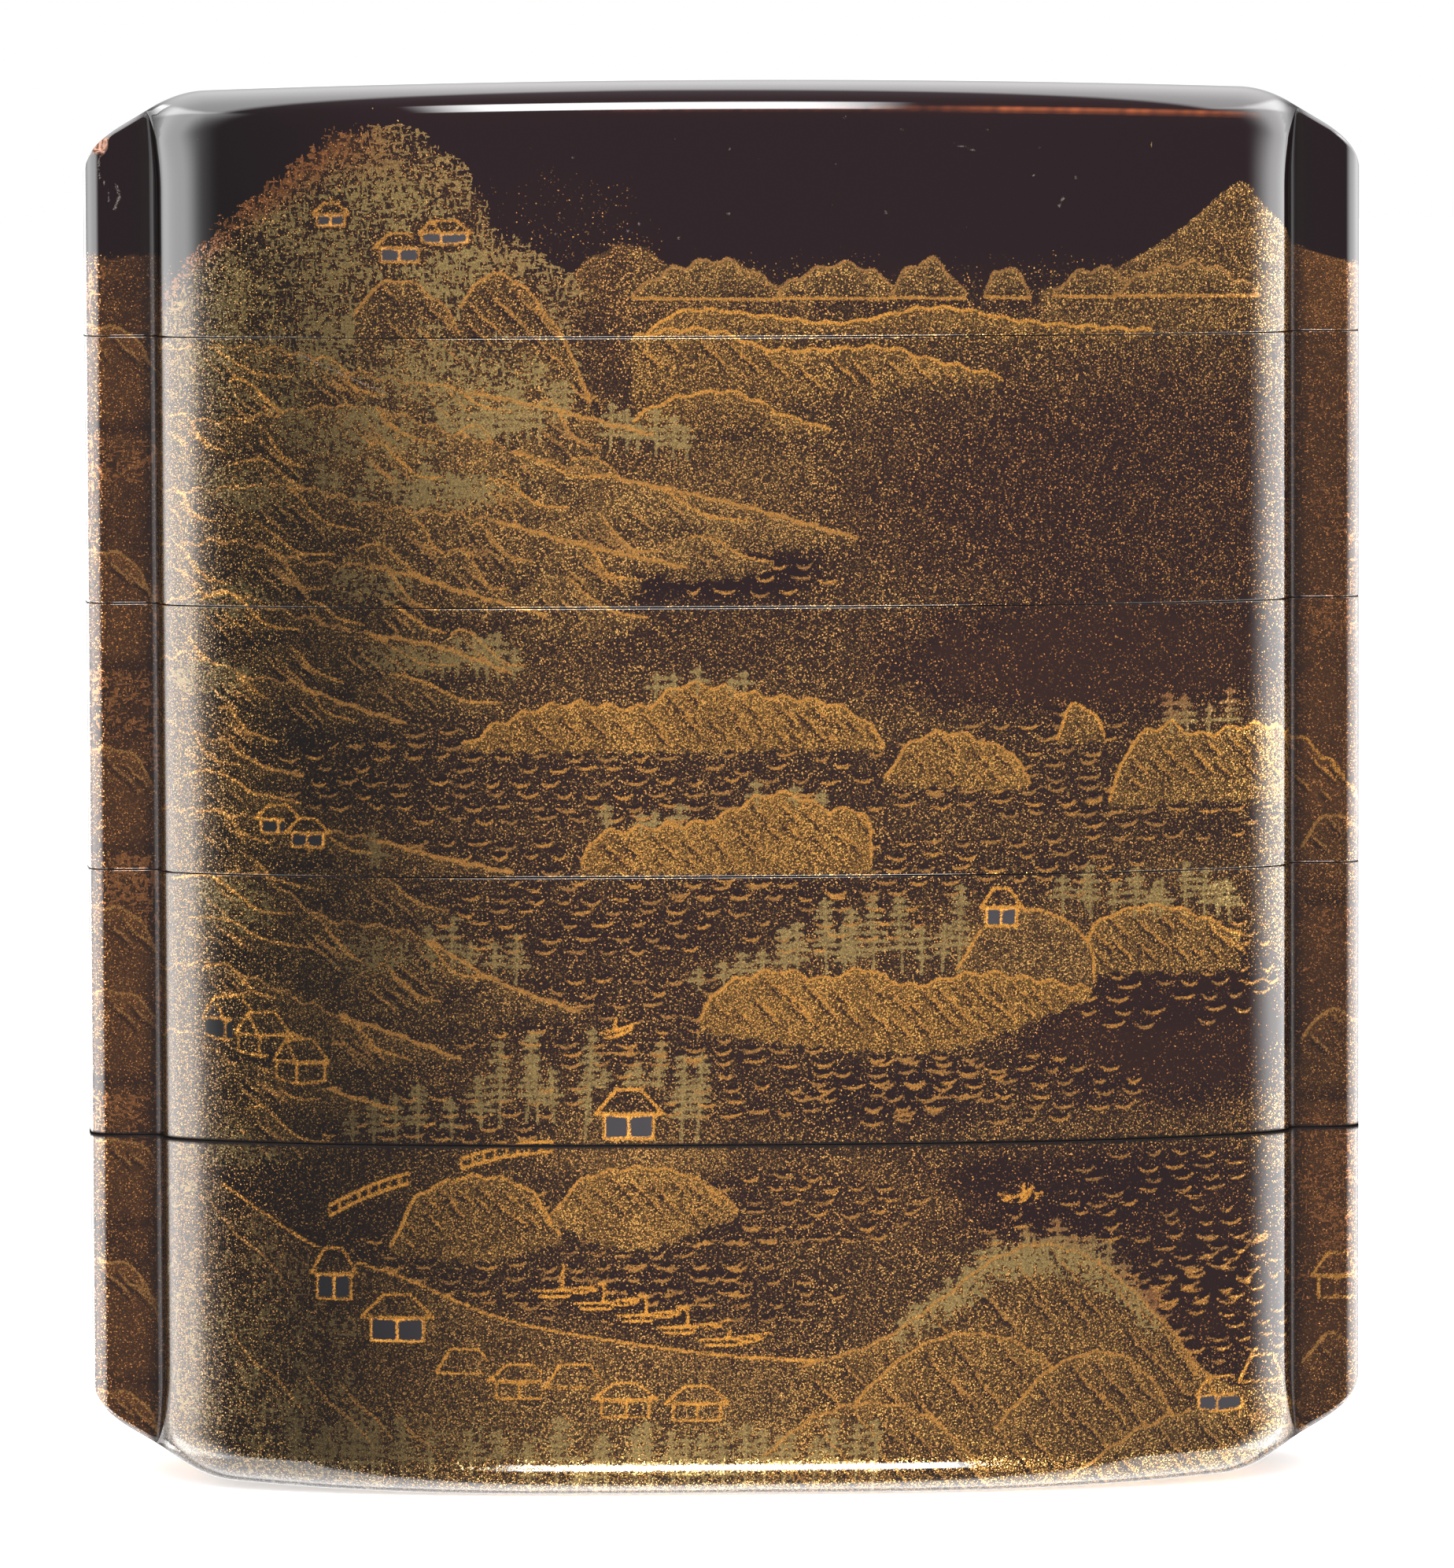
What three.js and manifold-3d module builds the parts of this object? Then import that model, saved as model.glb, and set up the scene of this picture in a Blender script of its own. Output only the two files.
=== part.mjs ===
// An inro: a small tiered case of lacquered wood, made to hang from a sash by a cord.
//
// A lid and four cases stack on one another. Each case carries a thin riser on its top face, which
// enters the socket in the underside of the tier above it. The front and back are gently crowned
// panels with rounded shoulders; a cove parts each shoulder from a flange that is set back from the
// panels, and the cord channels run down through the flanges.
//
// Millimetres. +Z is up, the front faces -Y, and the origin is in the middle of the underside.

import * as THREE from 'three';
import { mergeVertices } from 'three/addons/utils/BufferGeometryUtils.js';
import Module from 'manifold-3d';

const wasm = await Module();
wasm.setup();

// ---------------------------------------------------------------- driving dimensions

// Whole case.
const HEIGHT = 75;
const HALF_WIDTH = 34.25;
const HALF_DEPTH = 13;

// Tiers, from the base up. The lid takes what is left of the height.
const BOTTOM_CASE_HEIGHT = 18.8;
const CASE_HEIGHT = 14.23;
const STACKED_CASES = ['lower_case', 'middle_case', 'upper_case'];

// Plan of the crowned panels, from the centre line out to the shoulders.
const CROWN_FALL = 4.1;
const CROWN_POWER = 3.2;
const SHOULDER_START = 27.7;
const FLANK_HALF_WIDTH = 29.9;

// Plan of the flanges.
const FLANGE_HALF_DEPTH = 5.6;
const COVE_RADIUS = 0.8;
const FLANGE_CORNER_RADIUS = 0.9;
const SIDE_BULGE = 0.2;

// Ends of the case, seen from the front: a low arch, a bend, then a straight slope to the side.
const SLOPE_ANGLE = THREE.MathUtils.degToRad(30.5);
const BEND_RADIUS = 5.7;
const TOP_END = { flat: 0, archDrop: 0.45, bendStart: 27.4 };
const BOTTOM_END = { flat: 10, archDrop: 0.41, bendStart: 26.4 };

// Rounded edges where the walls meet the ends.
const PANEL_EDGE_RADIUS = 2.2;
const FLANGE_EDGE_RADIUS = 0.5;
const SIDE_EDGE_INSET = 2.0;
const SIDE_EDGE_DROP = 1.3;
const SHOULDER_FLARE = 0.6;
const FLARE_HEIGHT = 2.5;

// Walls, risers and sockets.
const PANEL_WALL = 1.15;
const FLANK_WALL = 1.75;
const RISER_CLEARANCE = 0.15;
const RISER_THICKNESS = 1.0;
const RISER_HEIGHT = 4.5;
const SOCKET_DEPTH = 4.7;
const FLOOR_THICKNESS = 1.5;
const BOTTOM_THICKNESS = 2.4;
const CEILING_HEIGHT = 72.6;
const INNER_CORNER = 1.4;

// Cord channels, down through the middle of each flange.
const CHANNEL_RADIUS = 1.25;
const CHANNEL_X = 31.2;

// Chip out of the lid, on the front corner of its left flange.
const CHIP_RADIUS = 0.7;
const CHIP_CENTRE = [-33.3, -5.7, 71.75];

// Fineness of the curved stretches.
const CROWN_STEPS = 9;
const SHOULDER_STEPS = 4;
const COVE_STEPS = 3;
const CORNER_STEPS = 3;
const SIDE_STEPS = 3;
const EDGE_STEPS = 5;
const FLARE_STEPS = 2;
const CHANNEL_SIDES = 16;

const LACQUER = { color: 0x2e2226, roughness: 0.22, metalness: 0.0 };

// ---------------------------------------------------------------- plan of the case

// Distance of the crowned panel's surface from the mid-plane, at x.
function crownDepth(x) {
  return HALF_DEPTH - CROWN_FALL * (x / SHOULDER_START) ** CROWN_POWER;
}

// The rounded shoulder that follows the crown: it starts on the crown, moved in by inset, turns
// through the corner where the two tangents meet, and ends square to the flank.
function shoulder(start, flank, end, inset) {
  const slope = (CROWN_FALL * CROWN_POWER / SHOULDER_START) * (start / SHOULDER_START) ** (CROWN_POWER - 1);
  const depth = crownDepth(start) - inset;
  const corner = depth - slope * (flank - start);
  const curve = new THREE.QuadraticBezierCurve(
    new THREE.Vector2(start, depth),
    new THREE.Vector2(flank, corner),
    new THREE.Vector2(flank, end ?? corner - (flank - start)),
  );
  return curve.getPoints(SHOULDER_STEPS);
}

function crown(start, inset) {
  const points = [];
  for (let i = 0; i < CROWN_STEPS; i += 1) {
    const x = start * i / CROWN_STEPS;
    points.push(new THREE.Vector2(x, crownDepth(x) - inset));
  }
  return points;
}

// One quarter of the outer outline, as (x, distance from the mid-plane), from the middle of the
// panel to the middle of the side.
function outerQuarter() {
  const coveEnd = FLANK_HALF_WIDTH + COVE_RADIUS;
  const coveTop = FLANGE_HALF_DEPTH + COVE_RADIUS;
  const cove = new THREE.EllipseCurve(
    coveEnd, coveTop, COVE_RADIUS, COVE_RADIUS, Math.PI, 1.5 * Math.PI,
  );
  const rim = HALF_WIDTH - SIDE_BULGE;
  const sideHalf = FLANGE_HALF_DEPTH - FLANGE_CORNER_RADIUS;
  const corner = new THREE.EllipseCurve(
    rim - FLANGE_CORNER_RADIUS, sideHalf, FLANGE_CORNER_RADIUS, FLANGE_CORNER_RADIUS,
    0.5 * Math.PI, 0, true,
  );
  const side = [];
  for (let i = 1; i <= SIDE_STEPS; i += 1) {
    const share = 1 - i / SIDE_STEPS;
    side.push(new THREE.Vector2(HALF_WIDTH - SIDE_BULGE * share ** 2, sideHalf * share));
  }
  return [
    ...crown(SHOULDER_START, 0),
    ...shoulder(SHOULDER_START, FLANK_HALF_WIDTH, coveTop, 0),
    ...cove.getPoints(COVE_STEPS).slice(1),
    ...corner.getPoints(CORNER_STEPS),
    ...side,
  ];
}

// One quarter of a riser's or a hollow's outline, inside the panels by inset.
function innerQuarter(halfWidth, inset) {
  const start = halfWidth - INNER_CORNER;
  return [
    ...crown(start, inset),
    ...shoulder(start, halfWidth, null, inset),
  ];
}

// Mirrors a quarter into the whole outline, counter-clockwise from the middle of the left side.
// place(point, signX, signY) gives each vertex.
function mirrored(quarter, place) {
  const last = quarter.length - 1;
  const reversed = [...quarter].reverse();
  const onSide = quarter[last].y === 0;
  return [
    ...reversed.map((point) => place(point, -1, -1)),
    ...quarter.slice(1).map((point) => place(point, 1, -1)),
    ...reversed.slice(onSide ? 1 : 0).map((point) => place(point, 1, 1)),
    ...quarter.slice(1, onSide ? last : last + 1).map((point) => place(point, -1, 1)),
  ];
}

// ---------------------------------------------------------------- ends of the case

// How far the end surface lies inside the end plane, at x.
function endDrop(x, end) {
  const run = Math.abs(x);
  const archRun = end.bendStart - end.flat;
  const startAngle = Math.atan(2 * end.archDrop / archRun);
  if (run <= end.bendStart) {
    return end.archDrop * (Math.max(0, run - end.flat) / archRun) ** 2;
  }
  const bendRun = BEND_RADIUS * (Math.sin(SLOPE_ANGLE) - Math.sin(startAngle));
  const along = Math.min(run - end.bendStart, bendRun);
  const angle = Math.asin(Math.sin(startAngle) + along / BEND_RADIUS);
  const bendDrop = BEND_RADIUS * (Math.cos(startAngle) - Math.cos(angle));
  const slopeRun = run - end.bendStart - along;
  return end.archDrop + bendDrop + Math.tan(SLOPE_ANGLE) * slopeRun;
}

// How the wall above or below one outline point turns over into the end surface: how far it moves
// in across the width and towards the mid-plane, and the height that the turn takes.
function edgeTurn(point) {
  const innerFlange = FLANGE_HALF_DEPTH - FLANGE_EDGE_RADIUS;
  const sideHalf = FLANGE_HALF_DEPTH - FLANGE_CORNER_RADIUS;
  const onPanel = THREE.MathUtils.smoothstep(point.y, FLANGE_HALF_DEPTH, FLANGE_HALF_DEPTH + COVE_RADIUS);
  const onSide = 1 - THREE.MathUtils.smoothstep(point.y, sideHalf, FLANGE_HALF_DEPTH);
  const frontDrop = THREE.MathUtils.lerp(FLANGE_EDGE_RADIUS, PANEL_EDGE_RADIUS, onPanel);
  const nearFlank = THREE.MathUtils.smoothstep(point.x, SHOULDER_START, FLANK_HALF_WIDTH);
  const coveEnd = FLANK_HALF_WIDTH + COVE_RADIUS;
  const pastCove = (point.x - FLANK_HALF_WIDTH) / COVE_RADIUS;
  return {
    across: SIDE_EDGE_INSET * Math.max(0, (point.x - coveEnd) / (HALF_WIDTH - coveEnd)),
    deep: Math.max(0, Math.min(PANEL_EDGE_RADIUS, 0.97 * (point.y - innerFlange))),
    drop: THREE.MathUtils.lerp(frontDrop, SIDE_EDGE_DROP, onSide),
    flare: nearFlank * THREE.MathUtils.clamp(1 - pastCove, 0, 1),
  };
}

// The stages of the turn, from the plain wall to the end surface.
function edgeStages() {
  const stages = [];
  for (let i = 0; i < FLARE_STEPS; i += 1) {
    const share = i / FLARE_STEPS;
    stages.push({ below: FLARE_HEIGHT * (1 - share), turn: 0, flare: 0.5 * share });
  }
  for (let i = 0; i <= EDGE_STEPS; i += 1) {
    const share = i / EDGE_STEPS;
    stages.push({ below: 0, turn: 0.5 * Math.PI * share, flare: 0.5 + 0.5 * share });
  }
  return stages;
}

// One ring of the turned edge. toHeight turns a distance inside the end plane into a height.
function edgeRing(quarter, stage, end, toHeight) {
  const inward = 1 - Math.cos(stage.turn);
  const remaining = 1 - Math.sin(stage.turn);
  return mirrored(quarter, (point, signX, signY) => {
    const edge = edgeTurn(point);
    const flare = SHOULDER_FLARE * edge.flare * stage.flare ** 2;
    const x = point.x - edge.across * inward + flare;
    const y = point.y - edge.deep * inward;
    const inside = endDrop(x, end) + edge.drop * remaining + stage.below;
    return [signX * x, signY * y, toHeight(inside)];
  });
}

function levelRing(quarter, height) {
  return mirrored(quarter, (point, signX, signY) => [signX * point.x, signY * point.y, height]);
}

// ---------------------------------------------------------------- solids

function toManifold(geometry) {
  const bare = geometry.clone();
  bare.deleteAttribute('normal');
  bare.deleteAttribute('uv');
  const merged = mergeVertices(bare, 1e-5);
  return new wasm.Manifold(new wasm.Mesh({
    numProp: 3,
    vertProperties: new Float32Array(merged.attributes.position.array),
    triVerts: new Uint32Array(merged.index.array),
  }));
}

function toGeometry(solid) {
  const mesh = solid.getMesh();
  const geometry = new THREE.BufferGeometry();
  geometry.setAttribute('position', new THREE.Float32BufferAttribute(mesh.vertProperties, 3));
  geometry.setIndex(new THREE.Uint32BufferAttribute(mesh.triVerts, 1));
  geometry.computeVertexNormals();
  return geometry;
}

// A closed skin over rings listed from the lowest to the highest. Each cap is a strip between the
// front and back points that share an x, because every outline is the same front and back.
function loft(rings) {
  const count = rings[0].length;
  const indices = [];
  for (let level = 0; level + 1 < rings.length; level += 1) {
    for (let i = 0; i < count; i += 1) {
      const next = (i + 1) % count;
      const low = level * count;
      const high = low + count;
      indices.push(low + i, low + next, high + next);
      indices.push(low + i, high + next, high + i);
    }
  }
  const top = (rings.length - 1) * count;
  const cap = (a, b, c) => {
    indices.push(top + a, top + b, top + c);
    indices.push(a, c, b);
  };
  for (let i = 0; i < count / 2; i += 1) {
    const back = count - i;
    if (i > 0) {
      cap(i, i + 1, back);
    }
    if (i + 1 < count / 2) {
      cap(i + 1, back - 1, back % count);
    }
  }
  const geometry = new THREE.BufferGeometry();
  geometry.setAttribute('position', new THREE.Float32BufferAttribute(rings.flat(2), 3));
  geometry.setIndex(indices);
  return toManifold(geometry);
}

function innerPrism(halfWidth, inset, from, to) {
  const outline = mirrored(
    innerQuarter(halfWidth, inset),
    (point, signX, signY) => new THREE.Vector2(signX * point.x, signY * point.y),
  );
  const geometry = new THREE.ExtrudeGeometry(new THREE.Shape(outline), {
    depth: to - from,
    bevelEnabled: false,
  });
  return toManifold(geometry.translate(0, 0, from));
}

// The hollow in the underside of a tier, and the riser and its hollow, which are nested in it.
const SOCKET = { halfWidth: FLANK_HALF_WIDTH - FLANK_WALL, inset: PANEL_WALL };
const RISER = {
  halfWidth: SOCKET.halfWidth - RISER_CLEARANCE,
  inset: SOCKET.inset + RISER_CLEARANCE,
};
const COMPARTMENT = {
  halfWidth: RISER.halfWidth - RISER_THICKNESS,
  inset: RISER.inset + RISER_THICKNESS,
};

function prism(outline, from, to) {
  return innerPrism(outline.halfWidth, outline.inset, from, to);
}

function cutChannels(solid) {
  const channel = new THREE.CylinderGeometry(CHANNEL_RADIUS, CHANNEL_RADIUS, 2 * HEIGHT, CHANNEL_SIDES);
  channel.rotateX(0.5 * Math.PI);
  const left = toManifold(channel.clone().translate(-CHANNEL_X, 0, 0));
  const right = toManifold(channel.translate(CHANNEL_X, 0, 0));
  return solid.subtract(left).subtract(right);
}

function addRiser(solid, seam) {
  return solid.add(prism(RISER, seam - FLOOR_THICKNESS, seam + RISER_HEIGHT));
}

const QUARTER = outerQuarter();

function lidSolid(seam) {
  const rings = edgeStages().map((stage) => edgeRing(QUARTER, stage, TOP_END, (inside) => HEIGHT - inside));
  const outside = loft([levelRing(QUARTER, seam), ...rings]);
  const chip = new THREE.IcosahedronGeometry(CHIP_RADIUS, 0).translate(...CHIP_CENTRE);
  const hollow = prism(SOCKET, seam - 1, CEILING_HEIGHT);
  return cutChannels(outside.subtract(hollow)).subtract(toManifold(chip));
}

function stackedSolid(base) {
  const seam = base + CASE_HEIGHT;
  const floor = base + SOCKET_DEPTH + FLOOR_THICKNESS;
  const outside = addRiser(loft([levelRing(QUARTER, base), levelRing(QUARTER, seam)]), seam);
  const socket = prism(SOCKET, base - 1, base + SOCKET_DEPTH);
  const compartment = prism(COMPARTMENT, floor, seam + RISER_HEIGHT + 1);
  return cutChannels(outside.subtract(socket).subtract(compartment));
}

function bottomSolid(seam) {
  const rings = edgeStages().reverse().map((stage) => edgeRing(QUARTER, stage, BOTTOM_END, (inside) => inside));
  const outside = addRiser(loft([...rings, levelRing(QUARTER, seam)]), seam);
  const compartment = prism(COMPARTMENT, BOTTOM_THICKNESS, seam + RISER_HEIGHT + 1);
  return cutChannels(outside.subtract(compartment));
}

// ---------------------------------------------------------------- the case

function tier(name, solid) {
  const mesh = new THREE.Mesh(toGeometry(solid), new THREE.MeshStandardMaterial(LACQUER));
  mesh.name = name;
  return mesh;
}

const inro = new THREE.Group();
inro.add(tier('bottom_case', bottomSolid(BOTTOM_CASE_HEIGHT)));
STACKED_CASES.forEach((name, index) => {
  inro.add(tier(name, stackedSolid(BOTTOM_CASE_HEIGHT + CASE_HEIGHT * index)));
});
inro.add(tier('lid', lidSolid(BOTTOM_CASE_HEIGHT + CASE_HEIGHT * STACKED_CASES.length)));

export default inro;
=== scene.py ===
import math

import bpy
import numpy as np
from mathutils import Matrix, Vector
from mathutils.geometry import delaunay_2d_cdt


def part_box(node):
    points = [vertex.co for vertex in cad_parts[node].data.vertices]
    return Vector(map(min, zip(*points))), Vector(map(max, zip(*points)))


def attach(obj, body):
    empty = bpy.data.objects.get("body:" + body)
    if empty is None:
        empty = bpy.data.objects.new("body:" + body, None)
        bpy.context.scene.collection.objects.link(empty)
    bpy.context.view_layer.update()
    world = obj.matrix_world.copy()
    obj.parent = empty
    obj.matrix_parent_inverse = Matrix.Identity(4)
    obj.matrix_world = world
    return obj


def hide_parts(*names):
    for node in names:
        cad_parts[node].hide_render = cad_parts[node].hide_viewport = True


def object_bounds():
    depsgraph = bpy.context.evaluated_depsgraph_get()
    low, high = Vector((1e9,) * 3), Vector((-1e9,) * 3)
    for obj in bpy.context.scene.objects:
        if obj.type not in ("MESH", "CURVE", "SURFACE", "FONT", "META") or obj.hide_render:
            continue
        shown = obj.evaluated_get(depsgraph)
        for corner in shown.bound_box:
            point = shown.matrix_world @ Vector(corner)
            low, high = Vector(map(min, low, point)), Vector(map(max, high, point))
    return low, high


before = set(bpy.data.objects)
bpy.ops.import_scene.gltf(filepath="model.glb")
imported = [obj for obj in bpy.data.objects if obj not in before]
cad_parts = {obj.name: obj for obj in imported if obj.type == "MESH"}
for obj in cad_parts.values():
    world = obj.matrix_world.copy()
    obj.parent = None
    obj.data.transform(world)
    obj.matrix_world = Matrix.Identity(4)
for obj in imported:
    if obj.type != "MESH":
        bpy.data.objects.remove(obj)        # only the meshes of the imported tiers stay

# Looks of a five-tier lacquered inro with a gold-powder landscape.
#
# Work is in millimetres, with +Z up and the front facing -Y, and meshes are scaled to metres as
# they are made. Each tier is rebuilt from the plan of the case with a fine skin. A painter then
# works the landscape out on two canvases, front and back, as distances to brush strokes and as
# amounts of gold powder, and each skin point carries the values that it finds there. The lacquer
# shader turns those values into lines, grains of gold and wear.

CAD_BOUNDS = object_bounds()
METRES = 0.001

# ---------------------------------------------------------------- sizes from the imported model


def node_box(name):
    low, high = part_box(name)
    return np.array(low) / METRES, np.array(high) / METRES


LOWEST, HIGHEST = (np.array(corner) / METRES for corner in CAD_BOUNDS)
HEIGHT = HIGHEST[2]
HALF_WIDTH = HIGHEST[0]
HALF_DEPTH = HIGHEST[1]
STACKED_CASES = ["lower_case", "middle_case", "upper_case"]
SEAMS = [node_box(name)[0][2] for name in STACKED_CASES + ["lid"]]

# ---------------------------------------------------------------- plan of the case

# The crowned panels, the shoulders, the coves, and the flanges that are set back.
CROWN_FALL = 4.1
CROWN_POWER = 3.2
SHOULDER_START = 27.7
FLANK_HALF_WIDTH = 30.12
FLANGE_HALF_DEPTH = 5.6
COVE_RADIUS = 0.65
FLANGE_CORNER_RADIUS = 1.4
SIDE_BULGE = 0.2

# The ends, seen from the front: a low arch, a bend, then a straight slope to the side.
SLOPE_ANGLE = math.radians(30.5)
BEND_RADIUS = 5.7
TOP_END = {"flat": 0.0, "arch_drop": 0.45, "bend_start": 27.4}
BOTTOM_END = {"flat": 10.0, "arch_drop": 0.41, "bend_start": 26.4}

# Rounded edges where the walls meet the ends.
PANEL_EDGE_RADIUS = 2.2
FLANGE_EDGE_RADIUS = 0.5
SIDE_EDGE_INSET = 2.0
SIDE_EDGE_DROP = 1.3
PANEL_EDGE_LEAN = 0.97
SHOULDER_FLARE = 0.6
FLARE_HEIGHT = 2.5

# Walls, risers, sockets and cord channels.
PANEL_WALL = 1.15
FLANK_WALL = 1.75
RISER_CLEARANCE = 0.15
RISER_THICKNESS = 1.0
RISER_HEIGHT = 4.5
SOCKET_DEPTH = 4.7
FLOOR_THICKNESS = 1.5
BOTTOM_THICKNESS = 2.4
CEILING_HEIGHT = 72.6
INNER_CORNER = 1.4
CHANNEL_RADIUS = 1.25
CHANNEL_X = 31.2

# Chip out of the front corner of the lid's left flange.
CHIP_RADIUS = 0.55
CHIP_CENTRE = (-33.3, -5.7, 71.75)
CHIP_POLE = 0.46 * math.pi

# Where two tiers meet: the radius of the rounded lip on each, and how wide the line of painted
# shade between them is, from the lowest seam up.
LIP = 0.09
SEAM_LINES = (0.17, 0.045, 0.04, 0.035)

# Lacquer, gold, worn places and painted shade.
FLAKES_PER_METRE = 15500.0
DASH_STRETCHES = ((5900.0, 5900.0, 2200.0), (2200.0, 2200.0, 5900.0))
FLAKE_TILT = 0.25
COAT_RIPPLE = 0.09
LACQUER_COLOUR = (0.0098, 0.0035, 0.0050)
RED_GOLD = (0.305, 0.113, 0.034)
PALE_GOLD = (0.428, 0.236, 0.066)
RICH_GOLD = (0.510, 0.230, 0.033)
RED_TREE_GOLD = (0.300, 0.112, 0.037)
TREE_GOLD = (0.325, 0.218, 0.079)
THIN_GOLD = (0.33, 0.163, 0.053)
FULL_GOLD = (0.90, 0.385, 0.055)
PANE_COLOUR = (0.045, 0.041, 0.046)
# Painted shade for the seams between the tiers and for the coves.
SEAM_AND_COVE_SHADE_COLOUR = (0.0144, 0.012, 0.012)
RUBBED_COLOUR = (0.264, 0.0672, 0.024)
SCRATCH_COLOUR = (0.288, 0.24, 0.216)
GROUND_COLOUR = (0.46, 0.26, 0.19)
GROUND_STAIN = (0.11, 0.055, 0.042)

# Fineness of the skin: steps in millimetres, counts of steps, and the angle that stays sharp.
COLUMN_STEP = 0.15
SIDE_STEP = 0.3
ROW_STEP = 0.132
BOTTOM_ROW_STEP = 0.165
EDGE_STEPS = 22
FLARE_STEPS = 14
CAP_STEP = 1.1
CAP_MARGIN = 0.97
INNER_STEP = 0.7
SHOULDER_STEPS = 24
COVE_STEPS = 8
FLANGE_STEPS = 16
CORNER_STEPS = 9
INNER_SHOULDER_STEPS = 5
CHANNEL_SIDES = 40
CHIP_RINGS = 15
CHIP_SIDES = 28
SHARP_ANGLE = math.radians(38)


def smoothstep(value, low, high):
    share = np.clip((value - low) / (high - low), 0.0, 1.0)
    return share * share * (3.0 - 2.0 * share)


def lerp(a, b, share):
    return a + (b - a) * share


def band(value, rise_from, rise_to, fall_from, fall_to):
    """One between a soft rise and a soft fall, and nought beyond them."""
    return smoothstep(value, rise_from, rise_to) * (1 - smoothstep(value, fall_from, fall_to))


def crown_depth(x):
    """Distance of the crowned panel's surface from the mid-plane, at x."""
    return HALF_DEPTH - CROWN_FALL * (np.abs(x) / SHOULDER_START) ** CROWN_POWER


def crown(start, inset, step):
    """Points along the crowned panel, from its middle up to start."""
    x = np.linspace(0.0, start, max(2, math.ceil(start / step)), endpoint=False)
    return np.stack([x, crown_depth(x) - inset], 1)


def shoulder(start, flank, end, inset, steps):
    """The rounded shoulder: it follows the crown, then turns square to the flank."""
    slope = CROWN_FALL * CROWN_POWER / SHOULDER_START * (start / SHOULDER_START) ** (CROWN_POWER - 1)
    depth = float(crown_depth(start)) - inset
    corner = depth - slope * (flank - start)
    if end is None:
        end = corner - (flank - start)
    t = np.linspace(0.0, 1.0, steps + 1)[:, None]
    a, b, c = (np.array(p) for p in ((start, depth), (flank, corner), (flank, end)))
    return (1 - t) ** 2 * a + 2 * t * (1 - t) * b + t ** 2 * c


def arc(centre, radius, start, end, steps):
    """Points along a circle, both ends included."""
    angle = np.linspace(start, end, steps + 1)
    return np.stack([centre[0] + radius * np.cos(angle), centre[1] + radius * np.sin(angle)], 1)


def outer_quarter():
    """A quarter of the outer outline, from the middle of the panel to the middle of the side, as
    (x, distance from the mid-plane), and which of its points the plainer back keeps. Each section
    comes with how many of its points go by for one that the back keeps."""
    cove_end = FLANK_HALF_WIDTH + COVE_RADIUS
    cove_top = FLANGE_HALF_DEPTH + COVE_RADIUS
    rim = HALF_WIDTH - SIDE_BULGE
    side_half = FLANGE_HALF_DEPTH - FLANGE_CORNER_RADIUS
    flange = np.linspace(cove_end, rim - FLANGE_CORNER_RADIUS, FLANGE_STEPS + 1)
    share = np.linspace(1.0, 0.0, math.ceil(side_half / SIDE_STEP) + 1)
    corner = (rim - FLANGE_CORNER_RADIUS, side_half)
    sections = [
        (crown(SHOULDER_START, 0.0, COLUMN_STEP), 3),
        (shoulder(SHOULDER_START, FLANK_HALF_WIDTH, cove_top, 0.0, SHOULDER_STEPS), 2),
        (arc((cove_end, cove_top), COVE_RADIUS, math.pi, 1.5 * math.pi, COVE_STEPS)[1:], 2),
        (np.stack([flange, np.full_like(flange, FLANGE_HALF_DEPTH)], 1)[1:], 4),
        (arc(corner, FLANGE_CORNER_RADIUS, 0.5 * math.pi, 0.0, CORNER_STEPS)[1:], 3),
        (np.stack([HALF_WIDTH - SIDE_BULGE * share ** 2, side_half * share], 1)[1:], 3),
    ]
    points = np.concatenate([points for points, _ in sections])
    kept = []
    for section, every in sections:
        index = np.arange(len(section))
        kept.append((index % every == 0) | (index == len(section) - 1))
    return points, np.concatenate(kept)


def inner_quarter(half_width, inset):
    """A quarter of a hollow's or riser's outline."""
    start = half_width - INNER_CORNER
    return np.concatenate([
        crown(start, inset, INNER_STEP),
        shoulder(start, half_width, None, inset, INNER_SHOULDER_STEPS),
    ])


def mirrored(front, back):
    """The four quarters of an outline, counter-clockwise from the middle of the left side, as the
    quarter's own points with the signs of x and y."""
    on_side = front[-1, 1] == 0.0
    turns = [
        (front[::-1], -1, -1),
        (front[1:], 1, -1),
        (back[::-1][1 if on_side else 0:], 1, 1),
        (back[1:len(back) - 1 if on_side else len(back)], -1, 1),
    ]
    points = np.concatenate([points for points, _, _ in turns])
    signs = np.concatenate([np.tile([float(x), float(y)], (len(p), 1)) for p, x, y in turns])
    return points, signs


QUARTER, BACK_KEEPS = outer_quarter()
RING, RING_SIGNS = mirrored(QUARTER, QUARTER[BACK_KEEPS])
QUARTER_RUN = np.concatenate([[0.0], np.cumsum(np.hypot(*np.diff(QUARTER, axis=0).T))])
PANEL_POINTS = QUARTER[:, 0] <= SHOULDER_START
QUARTER_RUN += SHOULDER_START - QUARTER_RUN[PANEL_POINTS][-1]
QUARTER_RUN[PANEL_POINTS] = QUARTER[PANEL_POINTS, 0]


def ring_normals():
    """Outward normals of the outline, in the quarter's own signs."""
    tangent = np.gradient(QUARTER, axis=0)
    normal = np.stack([-tangent[:, 1], tangent[:, 0]], 1)
    normal /= np.linalg.norm(normal, axis=1)[:, None]
    normal[0] = (0.0, 1.0)
    normal[-1] = (1.0, 0.0)
    return mirrored(normal, normal[BACK_KEEPS])[0]


RING_NORMALS = ring_normals()


# ---------------------------------------------------------------- ends of the case


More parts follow.
